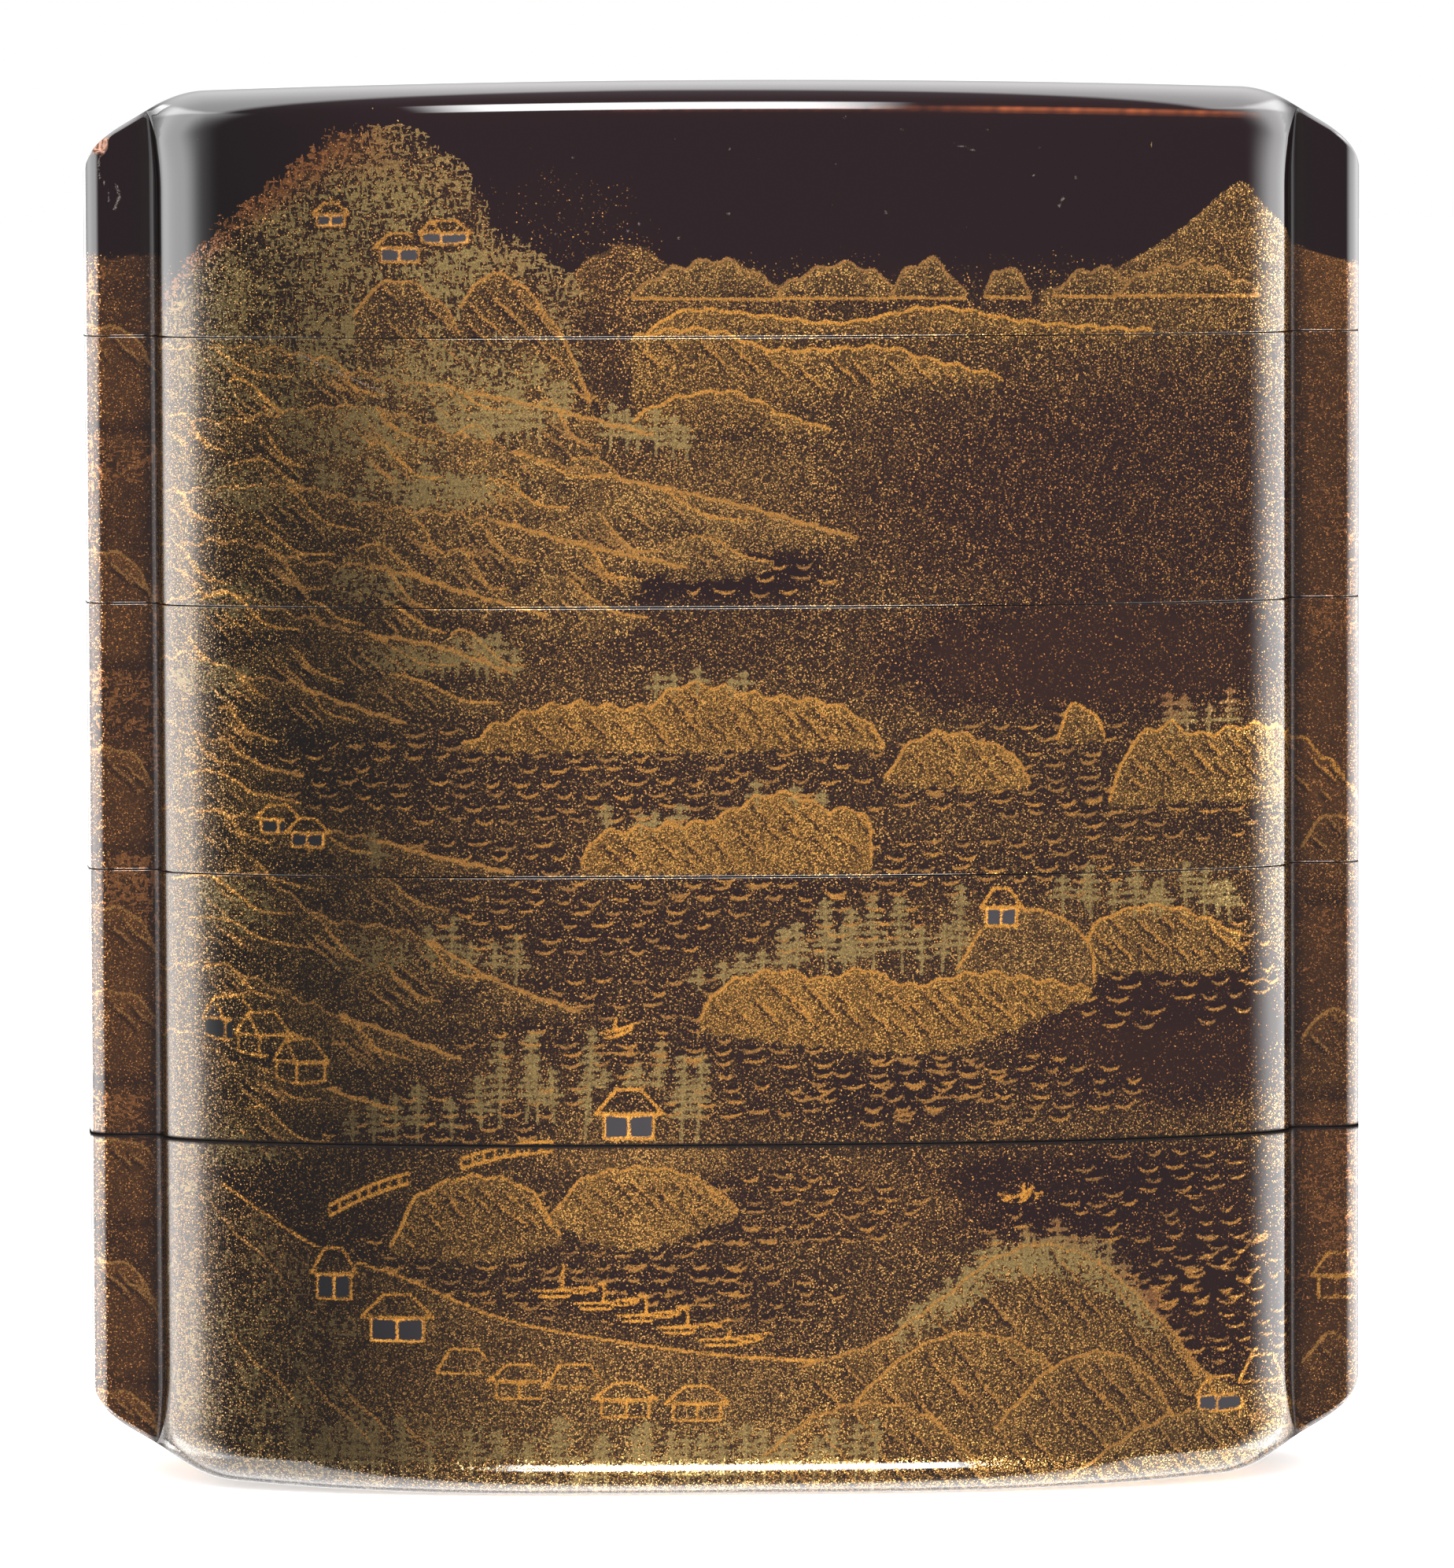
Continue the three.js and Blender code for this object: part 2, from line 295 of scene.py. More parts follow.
def end_drop(x, end):
    """How far the end surface lies inside the end plane, at x."""
    run = np.abs(x)
    arch_run = end["bend_start"] - end["flat"]
    start_angle = math.atan(2 * end["arch_drop"] / arch_run)
    arch = end["arch_drop"] * (np.maximum(0.0, run - end["flat"]) / arch_run) ** 2
    bend_run = BEND_RADIUS * (math.sin(SLOPE_ANGLE) - math.sin(start_angle))
    along = np.clip(run - end["bend_start"], 0.0, bend_run)
    angle = np.arcsin(math.sin(start_angle) + along / BEND_RADIUS)
    bend = BEND_RADIUS * (math.cos(start_angle) - np.cos(angle))
    slope = math.tan(SLOPE_ANGLE) * (run - end["bend_start"] - along)
    return np.where(run <= end["bend_start"], arch, end["arch_drop"] + bend + slope)


def edge_turn(points):
    """How the wall turns over into the end at each point: how far it moves in across the width and
    towards the mid-plane, the height that the turn takes, and how much the shoulder flares."""
    x, depth = points.T
    inner_flange = FLANGE_HALF_DEPTH - FLANGE_EDGE_RADIUS
    side_half = FLANGE_HALF_DEPTH - FLANGE_CORNER_RADIUS
    on_panel = smoothstep(depth, FLANGE_HALF_DEPTH, FLANGE_HALF_DEPTH + COVE_RADIUS)
    on_side = 1 - smoothstep(depth, side_half, FLANGE_HALF_DEPTH)
    front_drop = lerp(FLANGE_EDGE_RADIUS, PANEL_EDGE_RADIUS, on_panel)
    cove_end = FLANK_HALF_WIDTH + COVE_RADIUS
    near_flank = smoothstep(x, SHOULDER_START, FLANK_HALF_WIDTH)
    past_cove = (x - FLANK_HALF_WIDTH) / COVE_RADIUS
    across = SIDE_EDGE_INSET * np.maximum(0.0, (x - cove_end) / (HALF_WIDTH - cove_end))
    deep = np.clip(PANEL_EDGE_LEAN * (depth - inner_flange), 0.0, PANEL_EDGE_RADIUS)
    drop = lerp(front_drop, SIDE_EDGE_DROP, on_side)
    return across, deep, drop, near_flank * np.clip(1 - past_cove, 0.0, 1.0)


def edge_rings(end):
    """Rings from the plain wall over the turned edge to the end surface, each as (x, y, distance
    inside the end plane)."""
    stages = [
        (FLARE_HEIGHT * (1 - i / FLARE_STEPS), 0.0, 0.5 * i / FLARE_STEPS)
        for i in range(FLARE_STEPS)
    ]
    stages += [
        (0.0, 0.5 * math.pi * i / EDGE_STEPS, 0.5 + 0.5 * i / EDGE_STEPS)
        for i in range(EDGE_STEPS + 1)
    ]
    across, deep, drop, flare_share = edge_turn(RING)
    rings = []
    for below, turn, flare_stage in stages:
        inward = 1 - math.cos(turn)
        flare = SHOULDER_FLARE * flare_share * flare_stage ** 2
        x = RING[:, 0] - across * inward + flare
        y = RING[:, 1] - deep * inward
        inside = end_drop(x, end) + drop * (1 - math.sin(turn)) + below
        rings.append(np.stack([RING_SIGNS[:, 0] * x, RING_SIGNS[:, 1] * y, inside], 1))
    return rings


def wall_ring(height, inset):
    """The outline at a height, moved in by an inset."""
    plan = (RING - RING_NORMALS * inset) * RING_SIGNS
    return np.column_stack([plan, np.full(len(plan), height)])


def wall_rings(low, high, step):
    """Rings up a plain wall, between two rings and without them."""
    height = np.abs(high[:, 2] - low[:, 2]).max()
    count = math.ceil(height / step)
    return [lerp(low, high, i / count) for i in range(1, count)]


def lip_rings(seam, towards):
    """A small rounded lip at a seam, from the wall to the seam's own height. towards is +1 where
    the wall lies above the seam and -1 where it lies below."""
    turns = [0.5 * math.pi * share for share in (0.0, 0.33, 0.67, 1.0)]
    return [
        wall_ring(seam + towards * LIP * (1 - math.sin(turn)), LIP * (1 - math.cos(turn)))
        for turn in turns
    ]


# ---------------------------------------------------------------- meshes


def mesh_object(name, points, faces):
    mesh = bpy.data.meshes.new(name)
    mesh.from_pydata((points * METRES).tolist(), [], faces)
    mesh.validate()
    made = bpy.data.objects.new(name, mesh)
    bpy.context.scene.collection.objects.link(made)
    return made


def cap_faces(ring, end_height):
    """Extra points and triangles that close a ring with a surface whose height depends on x."""
    count = len(ring)
    edges = [(i, (i + 1) % count) for i in range(count)]
    x = np.arange(-HALF_WIDTH, HALF_WIDTH, CAP_STEP)
    y = np.arange(-HALF_DEPTH, HALF_DEPTH, CAP_STEP)
    grid = np.stack(np.meshgrid(x, y), -1).reshape(-1, 2)
    grid = grid[inside_polygon(grid, CAP_MARGIN * ring[:, :2])]
    plan = [Vector(p) for p in np.concatenate([ring[:, :2], grid]).tolist()]
    verts, _, faces, origins, _, _ = delaunay_2d_cdt(plan, edges, [], 0, 1e-6, True)
    plan_out = np.array([tuple(v) for v in verts])
    source = [o[0] if o else -1 for o in origins]
    middles = np.array([plan_out[list(face)].mean(0) for face in faces])
    keep = inside_polygon(middles, ring[:, :2])
    points = np.column_stack([grid, end_height(grid[:, 0])])
    triangles = [[source[v] for v in face] for face, kept in zip(faces, keep) if kept]
    return points, triangles


def inside_polygon(points, polygon):
    inside = np.zeros(len(points), bool)
    x, y = points.T
    for (ax, ay), (bx, by) in zip(polygon, np.roll(polygon, -1, 0)):
        crosses = (ay > y) != (by > y)
        if ay != by:
            inside ^= crosses & (x < (bx - ax) * (y - ay) / (by - ay) + ax)
    return inside


def loft(name, rings, low_cap=None, high_cap=None):
    """A closed skin over rings listed from the lowest to the highest. A cap is a height as a
    function of x, or None for a flat end."""
    count = len(rings[0])
    points = [np.concatenate(rings)]
    i = np.arange(count)
    j = (i + 1) % count
    faces = []
    for level in range(len(rings) - 1):
        low, high = level * count, (level + 1) * count
        faces += np.stack([low + i, low + j, high + j, high + i], 1).tolist()
    total = len(points[0])
    for cap, first, ring, upward in (
        (low_cap, 0, rings[0], False),
        (high_cap, total - count, rings[-1], True),
    ):
        if cap is None:
            face = (first + i).tolist()
            faces.append(face if upward else face[::-1])
            continue
        extra, triangles = cap_faces(ring, cap)
        offset = sum(len(p) for p in points)
        points.append(extra)
        for triangle in triangles:
            index = [v + first if v < count else v - count + offset for v in triangle]
            faces.append(index if upward else index[::-1])
    return mesh_object(name, np.concatenate(points), faces)


def column(name, plan, low, high):
    """A straight solid over a plan."""
    return loft(name, [np.column_stack([plan, np.full(len(plan), z)]) for z in (low, high)])


def prism(outline, low, high):
    quarter = inner_quarter(*outline)
    points, signs = mirrored(quarter, quarter)
    return column("prism", points * signs, low, high)


def channel(side):
    plan = arc((side * CHANNEL_X, 0), CHANNEL_RADIUS, 0, 2 * math.pi, CHANNEL_SIDES)[:-1]
    return column("channel", plan, -HEIGHT, 2 * HEIGHT)


def boolean(target, cutter, operation):
    modifier = target.modifiers.new("cut", "BOOLEAN")
    modifier.object = cutter
    modifier.operation = operation
    modifier.solver = "MANIFOLD"
    depsgraph = bpy.context.evaluated_depsgraph_get()
    mesh = bpy.data.meshes.new_from_object(target.evaluated_get(depsgraph))
    target.modifiers.clear()
    target.data = mesh
    bpy.data.objects.remove(cutter)


def chip():
    """A rough ball that breaks the corner out of the lid's left flange."""
    angle = np.linspace(0, 2 * math.pi, CHIP_SIDES, endpoint=False)
    rings = []
    for polar in np.linspace(-CHIP_POLE, CHIP_POLE, CHIP_RINGS):
        rough = 1 + 0.06 * np.sin(5 * angle + 7 * polar) + 0.05 * np.sin(9 * angle - 4 * polar)
        reach = CHIP_RADIUS * math.cos(polar) * rough
        rise = np.full(CHIP_SIDES, CHIP_RADIUS * math.sin(polar))
        rings.append(np.stack([reach * np.cos(angle), reach * np.sin(angle), rise], 1) + CHIP_CENTRE)
    return loft("chip", rings)


# Outlines of the hollows and risers, as the half width and the inset from the panel.
SOCKET = (FLANK_HALF_WIDTH - FLANK_WALL, PANEL_WALL)
RISER = (SOCKET[0] - RISER_CLEARANCE, SOCKET[1] + RISER_CLEARANCE)
COMPARTMENT = (RISER[0] - RISER_THICKNESS, RISER[1] + RISER_THICKNESS)


def hollowed(tier, low, high, opening, riser_seam=None, socket=None):
    """Adds a riser above riser_seam, then cuts the socket, which is given as its lowest and
    highest level, the hollow and the cord channels."""
    if riser_seam is not None:
        boolean(tier, prism(RISER, riser_seam - FLOOR_THICKNESS, riser_seam + RISER_HEIGHT), "UNION")
    if socket is not None:
        boolean(tier, prism(SOCKET, *socket), "DIFFERENCE")
    boolean(tier, prism(opening, low, high), "DIFFERENCE")
    for side in (-1, 1):
        boolean(tier, channel(side), "DIFFERENCE")
    return tier


def lid_tier(seam):
    ends = [np.column_stack([r[:, :2], HEIGHT - r[:, 2]]) for r in edge_rings(TOP_END)]
    lips = lip_rings(seam, 1)[::-1]
    rings = lips + wall_rings(lips[-1], ends[0], ROW_STEP) + ends
    tier = loft("lid_lacquer", rings, high_cap=lambda x: HEIGHT - end_drop(x, TOP_END))
    boolean(tier, chip(), "DIFFERENCE")
    return hollowed(tier, seam - 1, CEILING_HEIGHT, SOCKET)


def stacked_tier(name, base, seam):
    lips = lip_rings(base, 1)[::-1], lip_rings(seam, -1)
    rings = lips[0] + wall_rings(lips[0][-1], lips[1][0], ROW_STEP) + lips[1]
    tier = loft(name + "_lacquer", rings)
    floor = base + SOCKET_DEPTH + FLOOR_THICKNESS
    return hollowed(tier, floor, seam + RISER_HEIGHT + 1, COMPARTMENT, seam,
                    (base - 1, base + SOCKET_DEPTH))


def bottom_tier(seam):
    ends = edge_rings(BOTTOM_END)[::-1]
    lips = lip_rings(seam, -1)
    rings = ends + wall_rings(ends[-1], lips[0], BOTTOM_ROW_STEP) + lips
    tier = loft("bottom_case_lacquer", rings, low_cap=lambda x: end_drop(x, BOTTOM_END))
    return hollowed(tier, BOTTOM_THICKNESS, seam + RISER_HEIGHT + 1, COMPARTMENT, seam)


def make_tiers():
    tiers = {"bottom_case": bottom_tier(SEAMS[0])}
    for name, base, seam in zip(STACKED_CASES, SEAMS, SEAMS[1:]):
        tiers[name] = stacked_tier(name, base, seam)
    tiers["lid"] = lid_tier(SEAMS[-1])
    return tiers


# ---------------------------------------------------------------- the painter

# A canvas is unrolled round half the case: u runs along the outline from the middle of the panel
# and v is the height. The pitch is fine enough for the thinnest brush stroke.
PITCH = 0.075
FAR = 0.3
REACH = float(QUARTER_RUN[-1]) + 0.5
STROKE_MARGIN = 0.22
WAVE_ROW = 0.66
BRANCH_ROW = 0.52
PANE_DEPTH = 0.15
LUMP_RIDGE = (
    (0, 0.5), (0.14, 0.76), (0.3, 0.95), (0.46, 0.92), (0.6, 0.66), (0.72, 0.36), (0.88, 0.12),
    (1.15, 0),
)
LUMP_BASE = ((0, 0.6), (0.7, 0.5), (1.15, 0.16))
DICE = np.random.default_rng(20)
vary = DICE.uniform


def noise(shape, scale):
    """Smooth noise from 0 to 1 on a canvas, with features about scale millimetres across."""
    knots = DICE.random([int(n * PITCH / scale) + 3 for n in shape])
    v = np.arange(shape[0]) * PITCH / scale
    u = np.arange(shape[1]) * PITCH / scale
    i, j = v.astype(int), u.astype(int)
    a = smoothstep(v - i, 0.0, 1.0)[:, None]
    b = smoothstep(u - j, 0.0, 1.0)[None, :]
    low = lerp(knots[np.ix_(i, j)], knots[np.ix_(i, j + 1)], b)
    high = lerp(knots[np.ix_(i + 1, j)], knots[np.ix_(i + 1, j + 1)], b)
    return lerp(low, high, a)


def spline(points, step=0.2):
    """A smooth line through a few points, as closely spaced points."""
    p = np.array(points, float)
    p = np.concatenate([[2 * p[0] - p[1]], p, [2 * p[-1] - p[-2]]])
    line = []
    for a, b, c, d in zip(p, p[1:], p[2:], p[3:]):
        count = max(2, math.ceil(math.dist(b, c) / step))
        t = (np.arange(count) / count)[:, None]
        line.append(0.5 * (2 * b + (c - a) * t + (2 * a - 5 * b + 4 * c - d) * t ** 2
                           + (3 * b - a - 3 * c + d) * t ** 3))
    return np.concatenate(line + [p[-2:-1]])


def height_on(line, u):
    """The height of a line of points at u."""
    return np.interp(u, line[:, 0], line[:, 1])


def droop(start, length, lean):
    """A stroke that leaves level, falls away and levels out again."""
    share = np.linspace(0, 1, 7)
    fall = 0.8 * smoothstep(share, 0.0, 1.0) + 0.12 * np.sin(2 * math.pi * share)
    return np.stack([start[0] + lean * length * share * 0.75, start[1] - length * fall], 1)


class Canvas:
    """Brush strokes are kept as the distance inside their edge, in millimetres, and gold powder as
    the share of its grains that are laid down. warmth runs from red to yellow gold, tone from thin
    to full gold along a stroke, and painted_shade from none to a painted shade that darkens the
    colours. hollow is where the powder is wiped thin beside a stroke, and mottle is a cloudiness
    that varies the powder."""

    def __init__(self):
        self.shape = (int(HEIGHT / PITCH) + 2, int(2 * REACH / PITCH) + 2)
        self.v, self.u = np.mgrid[0:self.shape[0], 0:self.shape[1]] * PITCH
        self.u -= REACH
        for layer in ("line", "tree", "pane", "scar", "hollow"):
            setattr(self, layer, np.full(self.shape, -FAR))
        self.woods = np.zeros(self.shape)
        self.painted_shade = np.zeros(self.shape)
        self.powder = np.zeros(self.shape)
        self.warmth = np.full(self.shape, 0.4)
        self.tone = np.full(self.shape, 0.6)
        self.mottle = 0.6 * noise(self.shape, 0.9) + 0.4 * noise(self.shape, 0.35)

    def window(self, low, high):
        """The rows and columns between two corners, with a point to spare on each side."""
        first = np.clip(((low - (-REACH, 0)) / PITCH).astype(int) - 1, 0, None)
        last = ((high - (-REACH, 0)) / PITCH).astype(int) + 2
        return slice(first[1], max(first[1], last[1])), slice(first[0], max(first[0], last[0]))

    def stroke(self, points, width, layer="line", tone=0.7, taper=0.0):
        """A brush stroke. taper thins its ends."""
        field = getattr(self, layer)
        p = np.array(points, float)
        count = len(p) - 1
        for i, (a, b) in enumerate(zip(p, p[1:])):
            along = (i + 0.5) / count
            half = 0.5 * width * (1 - taper * abs(2 * along - 1) ** 2)
            margin = half + STROKE_MARGIN
            here = self.window(np.minimum(a, b) - margin, np.maximum(a, b) + margin)
            u, v = self.u[here], self.v[here]
            if u.size == 0:
                continue
            run = b - a
            share = ((u - a[0]) * run[0] + (v - a[1]) * run[1]) / max(run @ run, 1e-9)
            share = np.clip(share, 0.0, 1.0)
            inside = half - np.hypot(u - a[0] - share * run[0], v - a[1] - share * run[1])
            better = inside > field[here]
            field[here] = np.where(better, inside, field[here])
            if layer == "line":
                self.tone[here] = np.where(better, tone, self.tone[here])

    def away(self, centre, radii):
        """How far out every point lies in an ellipse: nought in the middle and one on its rim."""
        return np.hypot((self.u - centre[0]) / radii[0], (self.v - centre[1]) / radii[1])

    def cover(self, inside, here=slice(None)):
        """Takes out the strokes behind something nearer."""
        for field in (self.line, self.tree, self.pane, self.hollow):
            field[here][inside] = -FAR
        self.woods[here][inside] = 0.0

    def cover_box(self, low, high):
        self.cover(slice(None), self.window(np.array(low), np.array(high)))

    def dust(self, centre, radii, powder, warmth):
        """Shades the powder and its warmth towards an amount inside a soft ellipse."""
        away = self.away(centre, radii) + 0.25 * (self.mottle - 0.5)
        share = 1 - smoothstep(away, 0.4, 1.0)
        self.powder = lerp(self.powder, powder, share)
        self.warmth = lerp(self.warmth, warmth, share)

    def hill(self, ridge, foot, powder, warmth, tone=0.7, line=0.14, bumps=0.15, strokes=None):
        """A hill or island: covers what is behind it, is dusted with gold, thickest under the
        ridge, and is drawn with an outline and slanting strokes. foot is a height or points."""
        top = spline(ridge)
        top[:, 1] += bumps * np.sin(top[:, 0] * 4.1 + ridge[0][1]) * vary(0.3, 1.0, len(top))
        first, last = top[0, 0], top[-1, 0]
        foot_line = spline(foot) if isinstance(foot, list) else np.array([(first, foot), (last, foot)])
        lowest = min(foot_line[:, 1].min(), top[:, 1].min())
        here = self.window(np.array([first, lowest - 0.5]), np.array([last, top[:, 1].max() + 0.3]))
        u, v = self.u[here], self.v[here]
        high = height_on(top, u)
        low = height_on(foot_line, u) - 0.25 * np.abs(np.sin(u * 2.6))
        inside = (v < high) & (v > low) & (u > first) & (u < last)
        self.cover(inside, here)
        amount = powder * (0.72 + 0.5 * self.mottle[here]) + 0.3 * np.exp(-np.abs(high - v) / 0.5)
        amount -= 0.22 * smoothstep(low + 1.2 - v, 0.0, 1.2) * (powder < 0.7)
        self.powder[here] = np.where(inside, amount, self.powder[here])
        self.warmth[here] = np.where(inside, warmth, self.warmth[here])
        if line:
            self.stroke(top, line, tone=tone)
        if strokes:
            self.slants(top, foot_line, tone=tone, **strokes)

    def lump(self, foot, width, height, powder, tone, folds):
        """A rounded rise that falls away to the right, with folds drawn along its fall."""
        u, v = foot
        ridge = [(u + width * a, v + height * (b + vary(-0.07, 0.07))) for a, b in LUMP_RIDGE]
        base = [(u + width * a, v - height * b) for a, b in LUMP_BASE]
        self.hill(ridge, base, powder, 0.5, tone, line=0, bumps=0.03)
        crest = spline(ridge)
        first = int(len(crest) * vary(0.12, 0.42))
        self.stroke(crest[first:], 0.13 * vary(0.9, 1.2), tone=1.2 * tone, taper=0.35)
        for i in range(folds):
            share = 0.62 - 0.5 * (i + vary(0.6, 1.2)) / (folds + 0.6)
            level = v + height * (0.8 - 0.5 * abs(share - 0.45)) - vary(0.1, 0.5)
            curve = droop((u + share * width, level), height * vary(0.6, 1.2), 1.1)
            self.stroke(curve, 0.12, tone=tone * vary(0.6, 0.9), taper=0.5)
            self.stroke(curve - (0.18, 0.12), 0.14, "hollow", taper=0.5)

    def slants(self, top, foot, tone, length=2.0, every=1.1, rows=1, lean=1.0, width=0.12):
        """Rows of drooping strokes that run down a slope from its ridge."""
        for row in range(rows):
            u = top[0, 0] + vary(0.2, every)
            while u < top[-1, 0] - 0.3:
                high = height_on(top, u)
                room = high - height_on(foot, u)
                v = high - 0.15 - row * every * 0.95 - vary(0.0, 0.5)
                size = min(length * vary(0.6, 1.15), 0.85 * (v - high + room))
                if size > 0.5:
                    curve = droop((u, v), size, lean)
                    self.stroke(curve, width, tone=tone * vary(0.7, 1.0), taper=0.6)
                    self.stroke(curve - (0.2, 0.1), 0.18, "hollow", taper=0.5)
                u += every * vary(0.6, 1.4)

    def conifer(self, foot, height, tone=0.6, width=0.14):
        """A tree as a trunk crossed by short level dashes, wider towards the ground."""
        u, v = foot
        lean = vary(-0.08, 0.08) * height
        self.stroke([(u, v), (u + lean, v + height)], width, "tree", tone)
        count = max(2, int(height / BRANCH_ROW))
        for i in range(count):
            share = (i + 0.6) / count
            half = (0.26 + 0.36 * (1 - share)) * vary(0.6, 1.3) * min(1.0, 0.5 + height / 4)
            middle = u + lean * share + vary(-0.15, 0.15)
            level = v + height * (0.26 + 0.74 * share) + vary(-0.06, 0.06)
            self.stroke([(middle - half, level - 0.05), (middle, level), (middle + half, level - 0.04)],
                        width * 1.15, "tree", tone)

    def grove(self, start, end, count, height, tone=0.6, drop=0.4):
        """Trees along a line, nearer ones a little lower."""
        for i in range(count):
            share = (i + vary(0.1, 0.9)) / count
            u = lerp(start[0], end[0], share)
            v = lerp(start[1], end[1], share) - vary(0.0, drop)
            self.conifer((u, v), height * vary(0.6, 1.15), tone * vary(0.8, 1.1))

    def wood(self, amount):
        """Lays woods over the canvas, as thick as the amount at each of its points."""
        self.woods = np.maximum(self.woods, amount)

    def waves(self, centre, radii, tone=0.5, chance=0.85):
        """Rows of small hanging scallops inside an ellipse, where the powder is thinner."""
        away = self.away(centre, (1.05 * radii[0], 1.1 * radii[1]))
        self.powder *= 1 - 0.3 * (1 - smoothstep(away, 0.7, 1.0))
        for v in np.arange(centre[1] - radii[1], centre[1] + radii[1], WAVE_ROW):
            reach = radii[0] * math.sqrt(max(0.0, 1 - ((v - centre[1]) / radii[1]) ** 2))
            u = centre[0] - reach + vary(0, 1.6)
            while u < centre[0] + reach:
                if DICE.random() < chance:
                    self.scallop((u, v + vary(-0.14, 0.14)), vary(0.7, 1.2), tone)
                u += vary(1.35, 1.95)

    def scallop(self, place, width, tone):
        """One small wave: a hanging curve with its tips turned up, and thin powder over it."""
        share = np.linspace(-1, 1, 7)
        sag = 0.2 * vary(0.5, 1.3)
        tip = vary(-0.06, 0.06)
        points = np.stack([place[0] + 0.5 * width * share,
                           place[1] - sag * (1 - share ** 2) + tip * share], 1)
        self.stroke(points, 0.13, tone=tone * vary(0.6, 1.25), taper=0.5)
        self.stroke(points[1:-1] + (0.0, 0.22), 0.14, "hollow")

    def hut(self, foot, width, height, kind="open", tone=0.95, line=0.13, panes=True):
        """A small house: "open" has a hipped roof over posts, "gable" stands at an angle and
        "roof" is a roof alone."""
        at = np.array(foot, float)
        size = np.array((width, height))
        self.cover_box(at - size * (0.08, 0), at + size * (1.08, 0.96))
        if kind == "gable":
            walls = [
                ((0, 0.12), (0.42, 0), (0.42, 0.48), (0, 0.5)),
                ((0.42, 0), (1, 0.08), (1, 0.5), (0.42, 0.48)),
            ]
            roof = ((0.2, 0.96), (0.74, 1), (1.1, 0.48), (0.42, 0.44))
            self.stroke([at + size * (-0.06, 0.5), at + size * (0.2, 0.96)], line, tone=tone)
        elif kind == "open":
            walls = [
                ((0.05, 0), (0.5, 0), (0.5, 0.45), (0.05, 0.5)),
                ((0.5, 0), (0.95, 0), (0.95, 0.5), (0.5, 0.45)),
            ]
            roof = ((-0.12, 0.5), (0.28, 1), (0.72, 1), (1.12, 0.5))
        else:
            walls = []
            roof = ((-0.08, 0.3), (0.2, 1), (0.74, 1), (1.08, 0.3))
        for shape in walls + [roof]:
            outline = at + np.array(shape + shape[:1]) * size
            if panes and shape is not roof:
                self.fill_pane(outline)
            self.stroke(outline, line, tone=tone)

    def fill_pane(self, outline):
        here = self.window(outline.min(0), outline.max(0))
        points = np.stack([self.u[here].ravel(), self.v[here].ravel()], 1)
        inside = inside_polygon(points, outline[:-1]).reshape(self.u[here].shape)
        self.pane[here][inside] = PANE_DEPTH

    def boat(self, place, length=1.6, mast=0.9, tilt=0.12):
        """A low boat: a curved rail over a straighter keel, with a bare mast."""
        reach = np.array([0.5 * length, 0.0])
        self.cover_box(np.array(place) - reach - (0, 0.3), np.array(place) + reach + (0, 0.5))
        share = np.linspace(-1, 1, 7)
        for sag, lift, part in ((0.16, 0.0, 0.8), (0.1, 0.28, 1.0)):
            u = place[0] + 0.5 * part * length * share
            v = place[1] + lift + tilt * length * share - sag * (1 - share ** 2)
            self.stroke(np.stack([u, v], 1), 0.13, tone=1.0, taper=0.3)
        if mast:
            foot = np.array([place[0] - 0.08 * length, place[1] + 0.1])
            self.stroke([foot, foot + (0.03, mast)], 0.13, tone=1.0)

    def bridge(self, start, end, width=0.55):
        """Two rails that rise to the middle, joined by posts."""
        a, b = np.array(start, float), np.array(end, float)
        across = np.array([0.0, width])
        share = np.linspace(0, 1, 9)[:, None]
        rise = 0.04 * math.dist(a, b) * (1 - (2 * share - 1) ** 2) * np.array([0.0, 1.0])
        deck = lerp(a, b, share) + rise
        for rail in (deck, deck + across):
            self.stroke(rail, 0.15, tone=0.95)
        for post in deck:
            self.stroke([post, post + across], 0.1, tone=0.85)


# ---------------------------------------------------------------- the landscape

# Where the flanges start round the outline, and a level under the foot of the case.
FLANGE_START = 31.6
BELOW_FOOT = -0.5
# Slopes that come down to the water from the left, from far to near: the height at the left edge,
# the tip, and how thickly each is dusted. Like all places here, they are (u, v) on a canvas.
FRONT_SLOPES = [
    (61, (-4, 56.4), 0.50), (57.4, (6.8, 50.9), 0.62), (53.4, (-2.2, 49.4), 0.52),
    (50.6, (-9.6, 46.9), 0.46), (47.6, (-11.5, 43.9), 0.48), (44.4, (-17, 41.2), 0.50),
    (41, (-22.5, 38.4), 0.60), (36.2, (-11.4, 33.3), 0.50), (32.6, (-7.9, 25.9), 0.50),
    (28, (-14.2, 23.4), 0.55), (24.2, (-17.6, 20.7), 0.55),
]
BACK_SLOPES = [(58, (4, 53), 0.5), (50, (-8, 46), 0.5), (42, (-16, 38), 0.5), (26, (-10, 21), 0.55)]
# Low shores on the skyline: where each starts and ends, and its rise.
FAR_SHORES = [
    (-5, 3.4, 1.5), (2.6, 9.6, 1.3), (8.6, 12.6, 1.5), (13.6, 16, 1.1), (17.2, 22, 1),
    (20.5, 28.5, 1.2),
]
# A far shore's ridge: a share of its length, a level, and how much of its rise is added there.
SHORE_RIDGE = ((0, 63.7, 0), (0.22, 63.9, 0.7), (0.55, 64, 1), (0.8, 63.9, 0.5), (1, 63.6, 0))
# How far a slope has dropped at each share of its way to the tip.
SLOPE_RIDGE = ((0, -0.1), (0.2, 0.02), (0.38, -0.04), (0.52, 0.22), (0.68, 0.42), (0.84, 0.72), (1, 1))
# The crest of the wooded mountain.
WOODED_CREST = np.array([
    (-34, 60), (-31, 62.8), (-28.6, 65.8), (-27, 67.6), (-24.9, 69.2), (-22.6, 71.2), (-20.8, 72.7),
    (-18.2, 73.1), (-15.8, 72.5), (-14, 71), (-12.8, 69.4), (-12.2, 67.6), (-10.4, 66.4), (-7.6, 64.6),
    (-5, 62.4),
])
